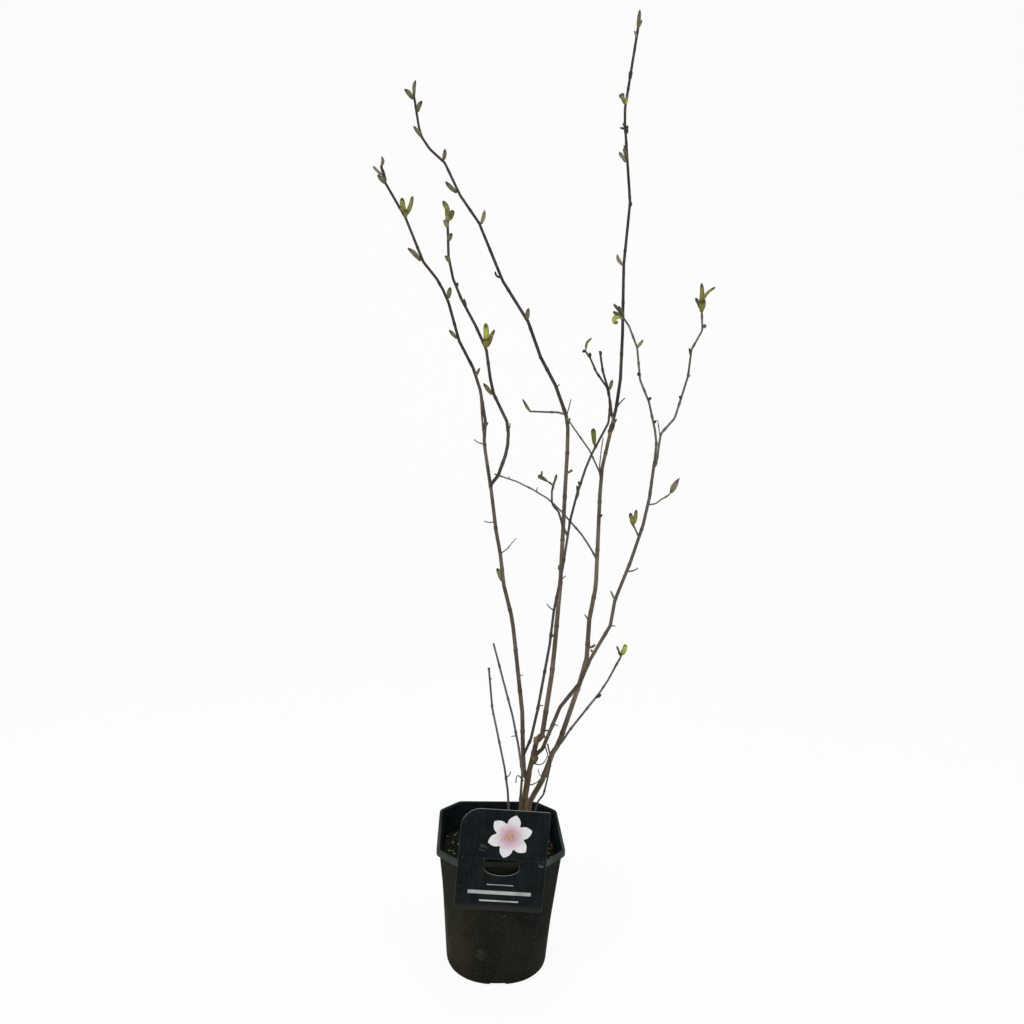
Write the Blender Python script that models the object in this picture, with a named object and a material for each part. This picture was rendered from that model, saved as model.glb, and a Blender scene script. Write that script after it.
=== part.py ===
"""A young magnolia with several stems, growing in a square black nursery pot with a care label on its rim.

Millimetres are used for every size below and turned to metres as the meshes are made. +Z is up, the pot
stands on z = 0 with its axis on the Z axis, and its labelled side faces -Y.
"""

from math import atan2, cos, pi, radians, sin, sqrt, tau

import bmesh
import bpy
from mathutils import Matrix, Vector

MM = 0.001
SEAT_GAP = 0.35  # clearance left between a piece and what carries it

# Nursery pot
POT_HEIGHT = 176.0
RIM_HALF = 82.5  # half the rim's width across its flat sides
RIM_CUT = 27.0  # how far each corner of the rim is cut back
RIM_BAND = 7.0  # height of the rim's outer band
RIM_LIP = 4.0  # width of the rim's top face
RIM_EDGE = 0.6  # the small bevel round the rim's top
RIM_STEP = 3.0  # how far the wall stands in behind the band
WALL = 1.5
FOOT_HALF = 67.0
FOOT_SQUARENESS = 2.2  # exponent of the foot's rounded outline: 2 is a circle
FOOT_ROUNDING = 6.0
FLOOR = 3.0
NOTCH_WIDTH = 21.0
NOTCH_HEIGHT = 4.5
NOTCH_DEPTH = 9.0

# Potting mix
SOIL_BELOW_RIM = 35.0
SOIL_TOP = POT_HEIGHT - SOIL_BELOW_RIM
SOIL_MOUND = 2.2
SOIL_CLEAR = 1.2  # between the root ball and the pot's wall
INSIDE_LEVELS = (11.0, 50.0, 95.0, SOIL_TOP)  # where the pot's inner wall changes slope

# Care label: a card that stands on the front rim, held by a tongue cut out of it
CARD_WIDTH = 110.0
CARD_TOP = 68.0  # above the rim
CARD_BOTTOM = 63.0  # below the rim
CARD_THICKNESS = 0.9
CARD_TILT = 3.3  # degrees, clockwise from the front
CARD_CORNER = 25.0
CARD_SMALL_CORNER = 3.0
TONGUE_RISE = 5.5  # the tongue bends back this far above the rim
TONGUE_HALF = 21.0
TONGUE_LENGTH = 19.0
TONGUE_SLOT = 1.2

# Stems
ROOT_DEPTH = 28.0  # how far each stem that leaves the soil reaches down into it
STEM_STEP = 17.0  # length of one straight facet along a stem

BARK_LOW = (0.095, 0.055, 0.032)
BARK_MID = (0.075, 0.060, 0.045)
BARK_HIGH = (0.035, 0.030, 0.026)
BUD_GREEN = (0.165, 0.155, 0.070)
LEAF_GREEN = (0.230, 0.260, 0.035)


def finish(name, colour, roughness):
    """A plain Principled material."""
    material = bpy.data.materials.new(name)
    material.use_nodes = True
    shader = material.node_tree.nodes["Principled BSDF"]
    shader.inputs["Base Color"].default_value = (*colour, 1.0)
    shader.inputs["Roughness"].default_value = roughness
    shader.inputs["Metallic"].default_value = 0.0
    return material


def add_object(name, builder, material, smooth_below=30.0):
    """Turns a bmesh in millimetres into a named object in metres."""
    bmesh.ops.scale(builder, vec=(MM, MM, MM), verts=builder.verts)
    bmesh.ops.recalc_face_normals(builder, faces=builder.faces)
    mesh = bpy.data.meshes.new(name)
    builder.to_mesh(mesh)
    builder.free()
    mesh.materials.append(material)
    mesh.shade_smooth()
    mesh.set_sharp_from_angle(angle=radians(smooth_below))
    made = bpy.data.objects.new(name, mesh)
    bpy.context.scene.collection.objects.link(made)
    return made


def loft(builder, rings):
    """Bridges rings of equal point counts, in order, and caps the first and the last."""
    rows = [[builder.verts.new(point) for point in ring] for ring in rings]
    count = len(rows[0])
    for below, above in zip(rows, rows[1:]):
        for i in range(count):
            j = (i + 1) % count
            builder.faces.new((below[i], below[j], above[j], above[i]))
    builder.faces.new(list(reversed(rows[0])))
    builder.faces.new(rows[-1])


def combine(target, helper, operation):
    """Cuts the helper out of the target, or joins it on, with a Boolean that stays on the target."""
    helper.hide_render = True
    helper.display_type = "WIRE"
    boolean = target.modifiers.new(helper.name, "BOOLEAN")
    boolean.operation = operation
    boolean.solver = "EXACT"
    boolean.object = helper


# ---------------------------------------------------------------------------------------------------------
# Pot, potting mix and label
# ---------------------------------------------------------------------------------------------------------


def pot_angles():
    """Directions round the pot: seven on each side, with one at each end of a cut corner."""
    corner = atan2(RIM_HALF - RIM_CUT, RIM_HALF)
    quarter = [corner * (i / 3) for i in range(-3, 4)]
    quarter += [corner + (pi / 2 - 2 * corner) * (i / 3) for i in (1, 2)]
    return [q * pi / 2 + a for q in range(4) for a in quarter]


def pot_outline(half, squareness_left):
    """One level of the pot. squareness_left is 1 for the rim's cut square and 0 for the foot's soft one."""
    points = []
    for angle in pot_angles():
        c, s = abs(cos(angle)), abs(sin(angle))
        cut_square = min(half / max(c, s), (2 * half - RIM_CUT * half / RIM_HALF) / (c + s))
        soft_square = half / (c**FOOT_SQUARENESS + s**FOOT_SQUARENESS) ** (1 / FOOT_SQUARENESS)
        radius = cut_square * squareness_left + soft_square * (1 - squareness_left)
        points.append((radius * cos(angle), radius * sin(angle)))
    return points


def pot_ring(height, inset=0.0):
    """The pot wall's outline at a height, moved inwards by inset."""
    share = height / POT_HEIGHT
    half = FOOT_HALF + (RIM_HALF - RIM_STEP - FOOT_HALF) * share
    return [Vector((x, y, height)) for x, y in pot_outline(half - inset, share**0.8)]


def foot_ring(height, inset, drawn_in):
    """A level inside the foot's rounding: the wall's outline, shrunk towards the axis by drawn_in."""
    shrink = 1 - drawn_in / FOOT_HALF
    return [Vector((p.x * shrink, p.y * shrink, height)) for p in pot_ring(height, inset)]


def rim_ring(height, half):
    return [Vector((x, y, height)) for x, y in pot_outline(half, 1.0)]


def build_pot():
    band_foot = POT_HEIGHT - RIM_BAND
    rings = [
        foot_ring(0.0, 0.0, FOOT_ROUNDING),
        foot_ring(0.3 * FOOT_ROUNDING, 0.0, 0.3 * FOOT_ROUNDING),
        pot_ring(FOOT_ROUNDING),
        *[pot_ring(height) for height in INSIDE_LEVELS[1:]],
        pot_ring(band_foot),
        rim_ring(band_foot, RIM_HALF),
        rim_ring(POT_HEIGHT - RIM_EDGE, RIM_HALF),
        rim_ring(POT_HEIGHT, RIM_HALF - RIM_EDGE),
        rim_ring(POT_HEIGHT, RIM_HALF - RIM_LIP),
        pot_ring(POT_HEIGHT - 2.0, WALL),
        *[pot_ring(height, WALL) for height in reversed(INSIDE_LEVELS)],
        foot_ring(FLOOR, WALL, FOOT_ROUNDING),
    ]
    builder = bmesh.new()
    loft(builder, rings)
    pot = add_object("nursery_pot", builder, finish("black_pot_plastic", (0.020, 0.022, 0.020), 0.55))
    for side in range(4):
        notch = bmesh.new()
        bmesh.ops.create_cube(notch, size=1.0)
        bmesh.ops.scale(notch, vec=(NOTCH_WIDTH, 2 * NOTCH_DEPTH, 2 * NOTCH_HEIGHT), verts=notch.verts)
        bmesh.ops.translate(notch, vec=(0, -FOOT_HALF, 0), verts=notch.verts)
        bmesh.ops.rotate(notch, matrix=Matrix.Rotation(side * pi / 2, 3, "Z"), verts=notch.verts)
        combine(pot, add_object(f"notch_{side}", notch, pot.data.materials[0]), "DIFFERENCE")


def soil_height(x, y):
    """Gentle mounds on the potting mix."""
    broad = sin(x / 17 + 0.8) * cos(y / 21)
    small = sin(y / 12 + x / 30)
    return SOIL_TOP + SOIL_MOUND * (0.6 * broad + 0.4 * small)


def build_soil(sockets):
    """The root ball, filling the pot to below the rim, with a socket for each stem that grows out of it."""
    clear = WALL + SOIL_CLEAR
    rings = [
        foot_ring(FLOOR + 2 * SOIL_CLEAR, clear, FOOT_ROUNDING + SOIL_CLEAR),
        *[pot_ring(height, clear) for height in INSIDE_LEVELS],
    ]
    for share in (0.86, 0.66, 0.44, 0.22):
        ring = []
        for p in rings[len(INSIDE_LEVELS)]:
            x, y = p.x * share, p.y * share
            ring.append(Vector((x, y, soil_height(x, y))))
        rings.append(ring)
    builder = bmesh.new()
    loft(builder, rings)
    soil = add_object("potting_mix", builder, finish("peat_potting_mix", (0.030, 0.022, 0.014), 0.95))
    for i, (foot, radius) in enumerate(sockets):
        cutter = bmesh.new()
        length = 2 * ROOT_DEPTH
        middle = SOIL_TOP - ROOT_DEPTH - SEAT_GAP + length / 2
        bmesh.ops.create_cone(cutter, cap_ends=True, segments=12, radius1=radius, radius2=radius, depth=length)
        bmesh.ops.translate(cutter, vec=(foot.x, foot.y, middle), verts=cutter.verts)
        combine(soil, add_object(f"socket_{i}", cutter, soil.data.materials[0]), "DIFFERENCE")


def card_outline():
    """The card from the front, counter-clockwise from its bottom left corner. (0, 0) is on the rim's top."""
    half = CARD_WIDTH / 2
    points = []
    corners = (
        (-half, -CARD_BOTTOM, CARD_SMALL_CORNER, pi),
        (half, -CARD_BOTTOM, CARD_SMALL_CORNER, 1.5 * pi),
        (half, CARD_TOP, CARD_SMALL_CORNER, 0.0),
        (-half, CARD_TOP, CARD_CORNER, 0.5 * pi),
    )
    for x, z, radius, start in corners:
        centre_x = x - radius * (1 if x > 0 else -1)
        centre_z = z - radius * (1 if z > 0 else -1)
        steps = 8 if radius > 10 else 3
        for i in range(steps + 1):
            angle = start + (pi / 2) * i / steps
            points.append((centre_x + radius * cos(angle), centre_z + radius * sin(angle)))
    return points


def tongue_outline(half, length):
    """A U that hangs from z = 0: straight sides and a round end."""
    points = [(-half, 0.0)]
    for i in range(13):
        angle = pi + pi * i / 12
        points.append((half * cos(angle), (length * 0.45) * sin(angle) - length * 0.55))
    points.append((half, 0.0))
    return points


def slab(builder, outline, y_front, y_back):
    """A flat plate in the XZ plane between two depths."""
    loft(builder, [[Vector((x, y, z)) for x, z in outline] for y in (y_front, y_back)])


def build_label():
    """The card in front of the rim. Its tongue bends over the rim's top and down behind the lip."""
    material = finish("black_card_plastic", (0.016, 0.016, 0.018), 0.4)
    face = -RIM_HALF - SEAT_GAP
    builder = bmesh.new()
    slab(builder, card_outline(), face - CARD_THICKNESS, face)
    card = add_object("care_label", builder, material)

    slot = bmesh.new()
    wide = tongue_outline(TONGUE_HALF + TONGUE_SLOT, TONGUE_LENGTH + TONGUE_SLOT)
    outline = [(x, z + TONGUE_RISE) for x, z in wide]
    slab(slot, outline, face - 5.0, face + 5.0)
    slot_object = add_object("tongue_slot", slot, material)

    over = RIM_LIP + 2 * SEAT_GAP + 1.0
    drop = SEAT_GAP + TONGUE_HALF * sin(radians(CARD_TILT))
    bend = [
        (-CARD_THICKNESS, TONGUE_RISE + 3.0),
        (-CARD_THICKNESS, TONGUE_RISE - 1.5),
        (over - 0.7, drop),
        (over, -2.0),
        (over + 1.7, -TONGUE_LENGTH),
        (over + 1.7 + CARD_THICKNESS, -TONGUE_LENGTH),
        (over + CARD_THICKNESS, -1.6),
        (over - 0.4, drop + CARD_THICKNESS * 1.2),
        (-0.1, TONGUE_RISE + 3.0),
    ]
    tongue = bmesh.new()
    rings = []
    for x in (-TONGUE_HALF, TONGUE_HALF):
        rings.append([Vector((x, face + y, z)) for y, z in bend])
    loft(tongue, rings)
    tongue_object = add_object("tongue_strip", tongue, material)

    combine(card, slot_object, "DIFFERENCE")
    combine(card, tongue_object, "UNION")
    place = Matrix.Translation((0, 0, POT_HEIGHT * MM)) @ Matrix.Rotation(radians(CARD_TILT), 4, "Y")
    for made in (card, slot_object, tongue_object):
        made.matrix_world = place


# ---------------------------------------------------------------------------------------------------------
# Stems, buds and leaves
# ---------------------------------------------------------------------------------------------------------

courses = {}  # name -> (points along the middle, radius at each)


def smooth_course(points, step):
    """A curve through the points, read at about equal steps."""
    points = [Vector(p) for p in points]
    ends = [2 * points[0] - points[1], *points, 2 * points[-1] - points[-2]]
    dense = [points[0].copy()]
    for before, a, b, after in zip(ends, ends[1:], ends[2:], ends[3:]):
        t0 = 0.0
        t1 = t0 + sqrt(max((a - before).length, 1e-6))
        t2 = t1 + sqrt(max((b - a).length, 1e-6))
        t3 = t2 + sqrt(max((after - b).length, 1e-6))
        pieces = max(1, round((b - a).length / step))
        for i in range(1, pieces + 1):
            t = t1 + (t2 - t1) * i / pieces
            a1 = before * ((t1 - t) / (t1 - t0)) + a * ((t - t0) / (t1 - t0))
            a2 = a * ((t2 - t) / (t2 - t1)) + b * ((t - t1) / (t2 - t1))
            a3 = b * ((t3 - t) / (t3 - t2)) + after * ((t - t2) / (t3 - t2))
            b1 = a1 * ((t2 - t) / (t2 - t0)) + a2 * ((t - t0) / (t2 - t0))
            b2 = a2 * ((t3 - t) / (t3 - t1)) + a3 * ((t - t1) / (t3 - t1))
            dense.append(b1 * ((t2 - t) / (t2 - t1)) + b2 * ((t - t1) / (t2 - t1)))
    return dense


def lengths(points):
    """The distance of each point from the first, along the course."""
    run = [0.0]
    for a, b in zip(points, points[1:]):
        run.append(run[-1] + (b - a).length)
    return run


def gap_to(carrier, point):
    """How far a point is from a carrier's surface, and the direction away from it. Stems end in flat faces."""
    points, radii = courses[carrier]
    best = None
    last = len(points) - 2
    for i, (a, b) in enumerate(zip(points, points[1:])):
        along = b - a
        heading = along.normalized()
        share = (point - a).dot(along) / max(along.length_squared, 1e-9)
        held = min(1.0, max(0.0, share))
        at = a + along * held
        out = point - at
        axial = abs(share - held) * along.length if (i == last or i == 0) else 0.0
        radial = out - heading * out.dot(heading) if axial else out
        radius = radii[i] + (radii[i + 1] - radii[i]) * held
        beyond = max(0.0, radial.length - radius)
        gap = sqrt(beyond**2 + axial**2) if axial else out.length - radius
        if best is None or gap < best[0]:
            direction = heading if axial > beyond else radial
            best = (gap, direction.normalized() if direction.length > 1e-6 else heading)
    return best


def seated(points, carrier, foot_radius):
    """The course with its start cut back to where it just clears the stem that carries it."""
    fine = smooth_course(points, 0.25)
    last_bad = 0
    for i, point in enumerate(fine[:-1]):
        gap, away = gap_to(carrier, point)
        heading = (fine[i + 1] - point).normalized()
        lean = sqrt(max(0.0, 1.0 - heading.dot(away) ** 2))
        if gap < SEAT_GAP + foot_radius * lean:
            last_bad = i
        if i - last_bad > 60:
            break
    start = fine[last_bad + 1]
    run = lengths(fine)
    rest = [p for p in (Vector(q) for q in points[1:]) if nearest_run(fine, run, p) > run[last_bad + 1] + 2.0]
    return [start, *rest]


def nearest_run(fine, run, point):
    """How far along a fine course the nearest place to a point is."""
    index = min(range(len(fine)), key=lambda i: (fine[i] - point).length_squared)
    return run[index]


def sweep(name, middle, rings_of, material):
    """A closed solid along a middle line. rings_of gives each cross-section as (x, y) pairs."""
    builder = bmesh.new()
    rings = []
    side = None
    for i, point in enumerate(middle):
        ahead = middle[min(i + 1, len(middle) - 1)] - middle[max(i - 1, 0)]
        ahead.normalize()
        if side is None:
            side = Vector((0, 1, 0)) - ahead * ahead.y
        side = (side - ahead * side.dot(ahead)).normalized()
        across = ahead.cross(side)
        rings.append([point + across * x + side * y for x, y in rings_of[i]])
    loft(builder, rings)
    return add_object(name, builder, material, 50.0)


def circle(radius, sides):
    return [(radius * cos(tau * k / sides), radius * sin(tau * k / sides)) for k in range(sides)]


def stem(name, material, diameters, points, carrier=None, taper=1.2, sides=6, step=STEM_STEP, end_bud=None):
    """A tapering shoot. With no carrier it grows from the soil, whose socket its foot fills.
    end_bud is the length and thickness of the bud that closes its tip."""
    foot, tip = (d / 2 for d in diameters)
    if carrier:
        points = seated(points, carrier, foot)
    else:
        x, y, z = points[0]
        points = [(x, y, SOIL_TOP - ROOT_DEPTH), *points]
    middle = smooth_course(points, step)
    run = lengths(middle)
    total = run[-1]
    radii = [tip + (foot - tip) * (1 - r / total) ** taper for r in run]
    courses[name] = (list(middle), list(radii))
    if end_bud:
        length, thickness = end_bud
        heading = (middle[-1] - middle[-2]).normalized()
        for share, swell in ((0.12, 0.62), (0.4, 1.0), (0.7, 0.72), (1.0, 0.16)):
            middle.append(courses[name][0][-1] + heading * length * share)
            radii.append(max(tip * 0.5, thickness / 2 * swell) if share < 1 else thickness / 2 * swell)
    sweep(name, middle, [circle(r, sides) for r in radii], material)
    return Vector(points[0]), foot


def lean_out(carrier, base, tip, foot_radius, thickness_at):
    """The middle line of a bud or leaf, tipped away from its stem until the whole of it is clear."""
    base, tip = Vector(base), Vector(tip)
    for _ in range(60):
        start = seated([base, tip], carrier, foot_radius)[0]
        clear = True
        for share in (0.15, 0.3, 0.45, 0.6, 0.8, 1.0):
            gap, away = gap_to(carrier, start.lerp(tip, share))
            if gap < SEAT_GAP + thickness_at(share):
                tip += away * 0.5
                clear = False
                break
        if clear:
            break
    return start, tip


def spindle(table, share):
    """Reads a profile given as (share of the length, share of the width) pairs."""
    for (s0, w0), (s1, w1) in zip(table, table[1:]):
        if share <= s1:
            return w0 + (w1 - w0) * (share - s0) / (s1 - s0)
    return table[-1][1]


BUD_PROFILE = ((0.0, 0.40), (0.15, 0.78), (0.4, 1.0), (0.7, 0.72), (0.92, 0.34), (1.0, 0.12))
LEAF_PROFILE = ((0.0, 0.16), (0.1, 0.34), (0.28, 0.82), (0.5, 1.0), (0.72, 0.86), (0.9, 0.46), (1.0, 0.12))


def bud(name, material, carrier, base, tip, thickness):
    """A pointed bud that sits on a stem."""
    half = thickness / 2
    foot = half * BUD_PROFILE[0][1]
    start, end = lean_out(carrier, base, tip, foot, lambda s: half * spindle(BUD_PROFILE, s))
    line = [start.lerp(end, s) for s, _ in BUD_PROFILE]
    sweep(name, line, [circle(half * w, 6) for _, w in BUD_PROFILE], material)


def leaf(name, material, carrier, base, tip, width, curl=0.12):
    """A young leaf, still partly folded: a thin blade with a keel, bowed along its length."""
    half = width / 2
    start, end = lean_out(carrier, base, tip, 0.6, lambda s: 0.7 * half * spindle(LEAF_PROFILE, s))
    bow = Vector((0, -1, 0)) * (end - start).length * curl
    line = [start.lerp(end, s) + bow * sin(pi * s) for s, _ in LEAF_PROFILE]
    sections = []
    for _, share in LEAF_PROFILE:
        reach = half * share
        thick = 0.45 + 0.25 * share
        sections.append([(reach, 0.35 * reach), (0.0, -thick), (-reach, 0.35 * reach), (0.0, thick)])
    sweep(name, line, sections, material)


def build_plant():
    low = finish("bark_brown", BARK_LOW, 0.8)
    mid = finish("bark_grey_brown", BARK_MID, 0.75)
    high = finish("bark_dark_twig", BARK_HIGH, 0.65)
    bud_skin = finish("bud_scale", BUD_GREEN, 0.7)
    blade = finish("young_leaf", LEAF_GREEN, 0.5)

    # The trunk and the stems that grow out of the soil
    rooted = [
        stem(
            "trunk", low, (11.6, 6.8),
            [(36, 5, 141), (33, 4, 190), (32, 4, 215), (34, 3, 236), (37, 3, 254)],
            sides=8,
        ),
        stem(
            "tall_stem", mid, (8.6, 2.2),
            [
                (40, 22, 141), (40, 21, 203), (46, 20, 222), (57, 20, 236), (70, 19, 276), (75, 18, 284),
                (92, 15, 340), (110, 13, 410), (111, 11, 462), (117, 10, 502), (118, 8, 580),
                (119, 6, 665), (136, 4, 760), (137, 1, 835), (134, -3, 921), (138, -6, 996),
                (131, -8, 1056), (126, -10, 1107), (133, -12, 1151), (139, -15, 1199),
            ],
            taper=1.8, sides=8, end_bud=(17.0, 4.4),
        ),
        stem(
            "far_left_shoot", mid, (2.4, 1.8),
            [(14, -8, 141), (13, -9, 175), (6, -19, 253), (-16, -29, 354), (-22, -35, 408)],
        ),
        stem(
            "near_left_shoot", mid, (2.8, 1.7),
            [
                (27, -2, 141), (25, -5, 195), (27, -10, 259), (24, -9, 279), (12, -7, 335),
                (-4, -6, 390), (-16, -5, 432),
            ],
        ),
        stem(
            "arching_shoot", high, (2.2, 1.6),
            [
                (47, 0, 141), (46, 0, 200), (50, -1, 216), (57, -1, 225), (61, -4, 247), (64, -9, 270),
                (63, -11, 284), (59, -12, 300),
            ],
        ),
    ]

    # The leaders that the trunk divides into
    stem(
        "middle_stem", mid, (6.2, 2.0),
        [
            (36, 3, 250), (42, 4, 278), (46, 7, 296), (53, 7, 302), (54, 8, 313), (64, 15, 385),
            (69, 22, 452), (72, 24, 505), (73, 28, 580), (75, 32, 650), (76, 38, 715), (73, 39, 732),
            (58, 41, 770), (37, 44, 807), (19, 47, 853), (-16, 51, 905), (-49, 57, 979), (-75, 59, 1014),
            (-96, 62, 1055), (-116, 64, 1072), (-127, 65, 1087), (-134, 67, 1115), (-138, 68, 1138),
        ],
        carrier="trunk", sides=8, end_bud=(19.0, 4.6),
    )
    stem(
        "left_stem", mid, (5.2, 2.3),
        [
            (35, 3, 242), (30, 4, 254), (29, 4, 266), (28, 4, 282), (27, 6, 320), (19, 8, 386),
            (13, 10, 430), (7, 11, 466), (-4, 13, 506), (-10, 15, 548), (-16, 18, 576), (-24, 21, 630),
            (-35, 26, 696), (-34, 28, 720), (-42, 31, 761), (-52, 33, 789), (-71, 35, 823),
            (-86, 38, 872), (-102, 40, 902), (-120, 41, 923), (-144, 45, 978), (-160, 47, 1005),
            (-172, 48, 1023), (-177, 49, 1043),
        ],
        carrier="trunk", end_bud=(11.0, 3.4),
    )

    # Stems that leave those three
    stem(
        "inner_left_stem", high, (4.0, 2.3),
        [
            (-27, 21, 635), (-16, 10, 650), (-11, 8, 664), (-5, 4, 690), (-7, -1, 720), (-25, -6, 754),
            (-33, -12, 790), (-36, -15, 808), (-50, -19, 836), (-68, -25, 866), (-79, -28, 890),
            (-85, -32, 915), (-87, -36, 956),
        ],
        carrier="left_stem",
    )
    stem(
        "slim_stem", mid, (3.2, 2.0),
        [
            (28, 4, 277), (33, -2, 290), (37, -8, 305), (44, -12, 345), (52, -16, 405), (58, -18, 448),
            (60, -19, 480), (69, -21, 536), (76, -24, 598), (87, -25, 645), (99, -26, 681),
            (112, -27, 706), (119, -27, 722), (118, -28, 760), (109, -29, 785), (104, -30, 810),
        ],
        carrier="left_stem",
    )
    stem(
        "right_stem", mid, (4.2, 2.9),
        [
            (44, 5, 278), (53, -5, 290), (61, -6, 312), (74, -9, 349), (99, -12, 384), (110, -15, 415),
            (125, -17, 445), (134, -19, 462), (138, -22, 496), (151, -25, 534), (163, -29, 575),
            (172, -33, 616), (177, -38, 676),
        ],
        carrier="middle_stem",
    )
    stem(
        "right_fork_inner", high, (2.6, 1.9),
        [
            (177, -38, 675), (178, -39, 699), (172, -38, 730), (167, -36, 749), (155, -34, 776),
            (152, -33, 795), (150, -32, 815), (139, -31, 841), (131, -30, 852),
        ],
        carrier="right_stem",
    )
    stem(
        "right_fork_outer", high, (2.6, 1.9),
        [
            (176, -37, 664), (181, -42, 680), (183, -45, 700), (186, -47, 712), (197, -49, 730),
            (200, -51, 745), (209, -56, 781), (210, -61, 812), (221, -65, 835), (218, -68, 859),
        ],
        carrier="right_stem",
    )

    # Twigs
    stem(
        "low_right_twig", high, (2.3, 1.7),
        [
            (75, 18, 284), (80, 9, 294), (90, 3, 314), (103, -3, 335), (116, -9, 355), (134, -17, 388),
            (149, -25, 424),
        ],
        carrier="tall_stem",
    )
    stem(
        "slim_stem_twig", high, (2.2, 1.6),
        [
            (74, -22, 577), (66, -28, 592), (60, -32, 609), (51, -34, 619), (50, -37, 635),
            (53, -40, 648),
        ],
        carrier="slim_stem", end_bud=(9.0, 3.4),
    )
    stem(
        "long_cross_twig", high, (2.2, 1.5),
        [
            (117, 9, 543), (112, 3, 552), (95, 3, 577), (68, 4, 606), (50, 12, 622), (30, 23, 633),
            (10, 30, 642), (-20, 34, 651),
        ],
        carrier="tall_stem",
    )
    stem(
        "knee_twig", high, (2.0, 1.6),
        [(119, 6, 650), (114, 4, 662), (102, 7, 686), (88, 9, 704), (75, 11, 722)],
        carrier="tall_stem", end_bud=(9.0, 3.2),
    )
    stem(
        "middle_stem_twig", high, (2.0, 1.6),
        [(74, 38, 732), (62, 36, 735), (40, 36, 735), (25, 34, 735), (15, 25, 746)],
        carrier="middle_stem", end_bud=(11.0, 4.0),
    )
    stem(
        "tall_stem_twig", high, (2.3, 1.7),
        [(129, 5, 728), (126, 6, 750), (121, 7, 768), (107, 10, 787), (98, 12, 806), (91, 14, 815)],
        carrier="tall_stem",
    )
    stem(
        "flower_bud_stalk", mid, (2.2, 1.8),
        [(172, -33, 620), (180, -36, 624), (190, -39, 631), (199, -41, 638)],
        carrier="right_stem",
    )

    bud("flower_bud", bud_skin, "flower_bud_stalk", (199, -41, 638), (209, -47, 659), 8.0)
    side_buds = (
        ("left_stem", (-74, 35, 826), (-82, 32, 838), 5.0),
        ("left_stem", (-87, 38, 875), (-86, 35, 891), 6.0),
        ("left_stem", (-124, 42, 925), (-135, 38, 943), 6.2),
        ("inner_left_stem", (-27, -6, 753), (-34, -11, 769), 5.4),
        ("slim_stem", (118, -28, 761), (121, -32, 776), 4.4),
        ("middle_stem", (-46, 57, 979), (-42, 53, 996), 5.4),
        ("middle_stem", (-80, 60, 1018), (-94, 56, 1031), 6.0),
        ("middle_stem", (-98, 62, 1058), (-96, 58, 1072), 5.0),
        ("middle_stem", (-133, 67, 1119), (-127, 63, 1132), 6.0),
        ("middle_stem", (-138, 68, 1134), (-151, 64, 1146), 5.6),
        ("tall_stem", (133, -3, 919), (124, -7, 933), 4.4),
    )
    for i, (carrier, base, tip, thickness) in enumerate(side_buds, 1):
        bud(f"side_bud_{i}", bud_skin, carrier, base, tip, thickness)

    leaves = (
        ("left_stem", (-144, 45, 979), (-149, 39, 1003), 5.2),
        ("left_stem", (-144, 45, 979), (-136, 50, 1009), 5.2),
        ("left_stem", (-173, 48, 1026), (-188, 46, 1043), 4.6),
        ("left_stem", (-8, 14, 511), (-14, 9, 530), 5.0),
        ("inner_left_stem", (-36, -15, 809), (-38, -22, 841), 7.4),
        ("inner_left_stem", (-36, -15, 809), (-26, -9, 835), 6.4),
        ("inner_left_stem", (-87, -36, 954), (-93, -42, 979), 6.4),
        ("inner_left_stem", (-87, -36, 954), (-80, -30, 974), 7.4),
        ("slim_stem", (103, -27, 688), (99, -33, 716), 5.6),
        ("slim_stem_twig", (51, -38, 642), (30, -45, 655), 6.2),
        ("tall_stem", (133, -7, 1042), (120, -13, 1054), 5.0),
        ("tall_stem", (133, -7, 1044), (127, -2, 1062), 4.6),
        ("tall_stem", (127, -10, 1108), (119, -15, 1122), 6.0),
        ("tall_stem_twig", (93, 14, 815), (99, 8, 831), 5.0),
        ("right_stem", (162, -29, 575), (149, -37, 612), 5.6),
        ("right_stem", (162, -29, 575), (161, -22, 613), 5.0),
        ("right_fork_inner", (133, -30, 850), (117, -34, 868), 5.4),
        ("right_fork_inner", (133, -30, 850), (116, -39, 857), 5.0),
        ("right_fork_outer", (219, -68, 855), (208, -73, 872), 5.0),
        ("right_fork_outer", (218, -68, 857), (218, -64, 887), 5.4),
        ("right_fork_outer", (218, -68, 857), (231, -72, 884), 4.6),
        ("low_right_twig", (149, -25, 423), (141, -30, 439), 6.2),
        ("low_right_twig", (149, -25, 423), (155, -20, 438), 6.2),
    )
    for i, (carrier, base, tip, width) in enumerate(leaves, 1):
        leaf(f"young_leaf_{i:02d}", blade, carrier, base, tip, width)
    return rooted


def main():
    for leftover in list(bpy.data.objects):
        bpy.data.objects.remove(leftover)
    rooted = build_plant()
    build_pot()
    build_soil([(foot, radius + SEAT_GAP) for foot, radius in rooted])
    build_label()


main()
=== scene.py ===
from math import cos, exp, pi, radians, sin, sqrt, tau

import bmesh
import bpy
from mathutils import Matrix, Vector, noise


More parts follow.
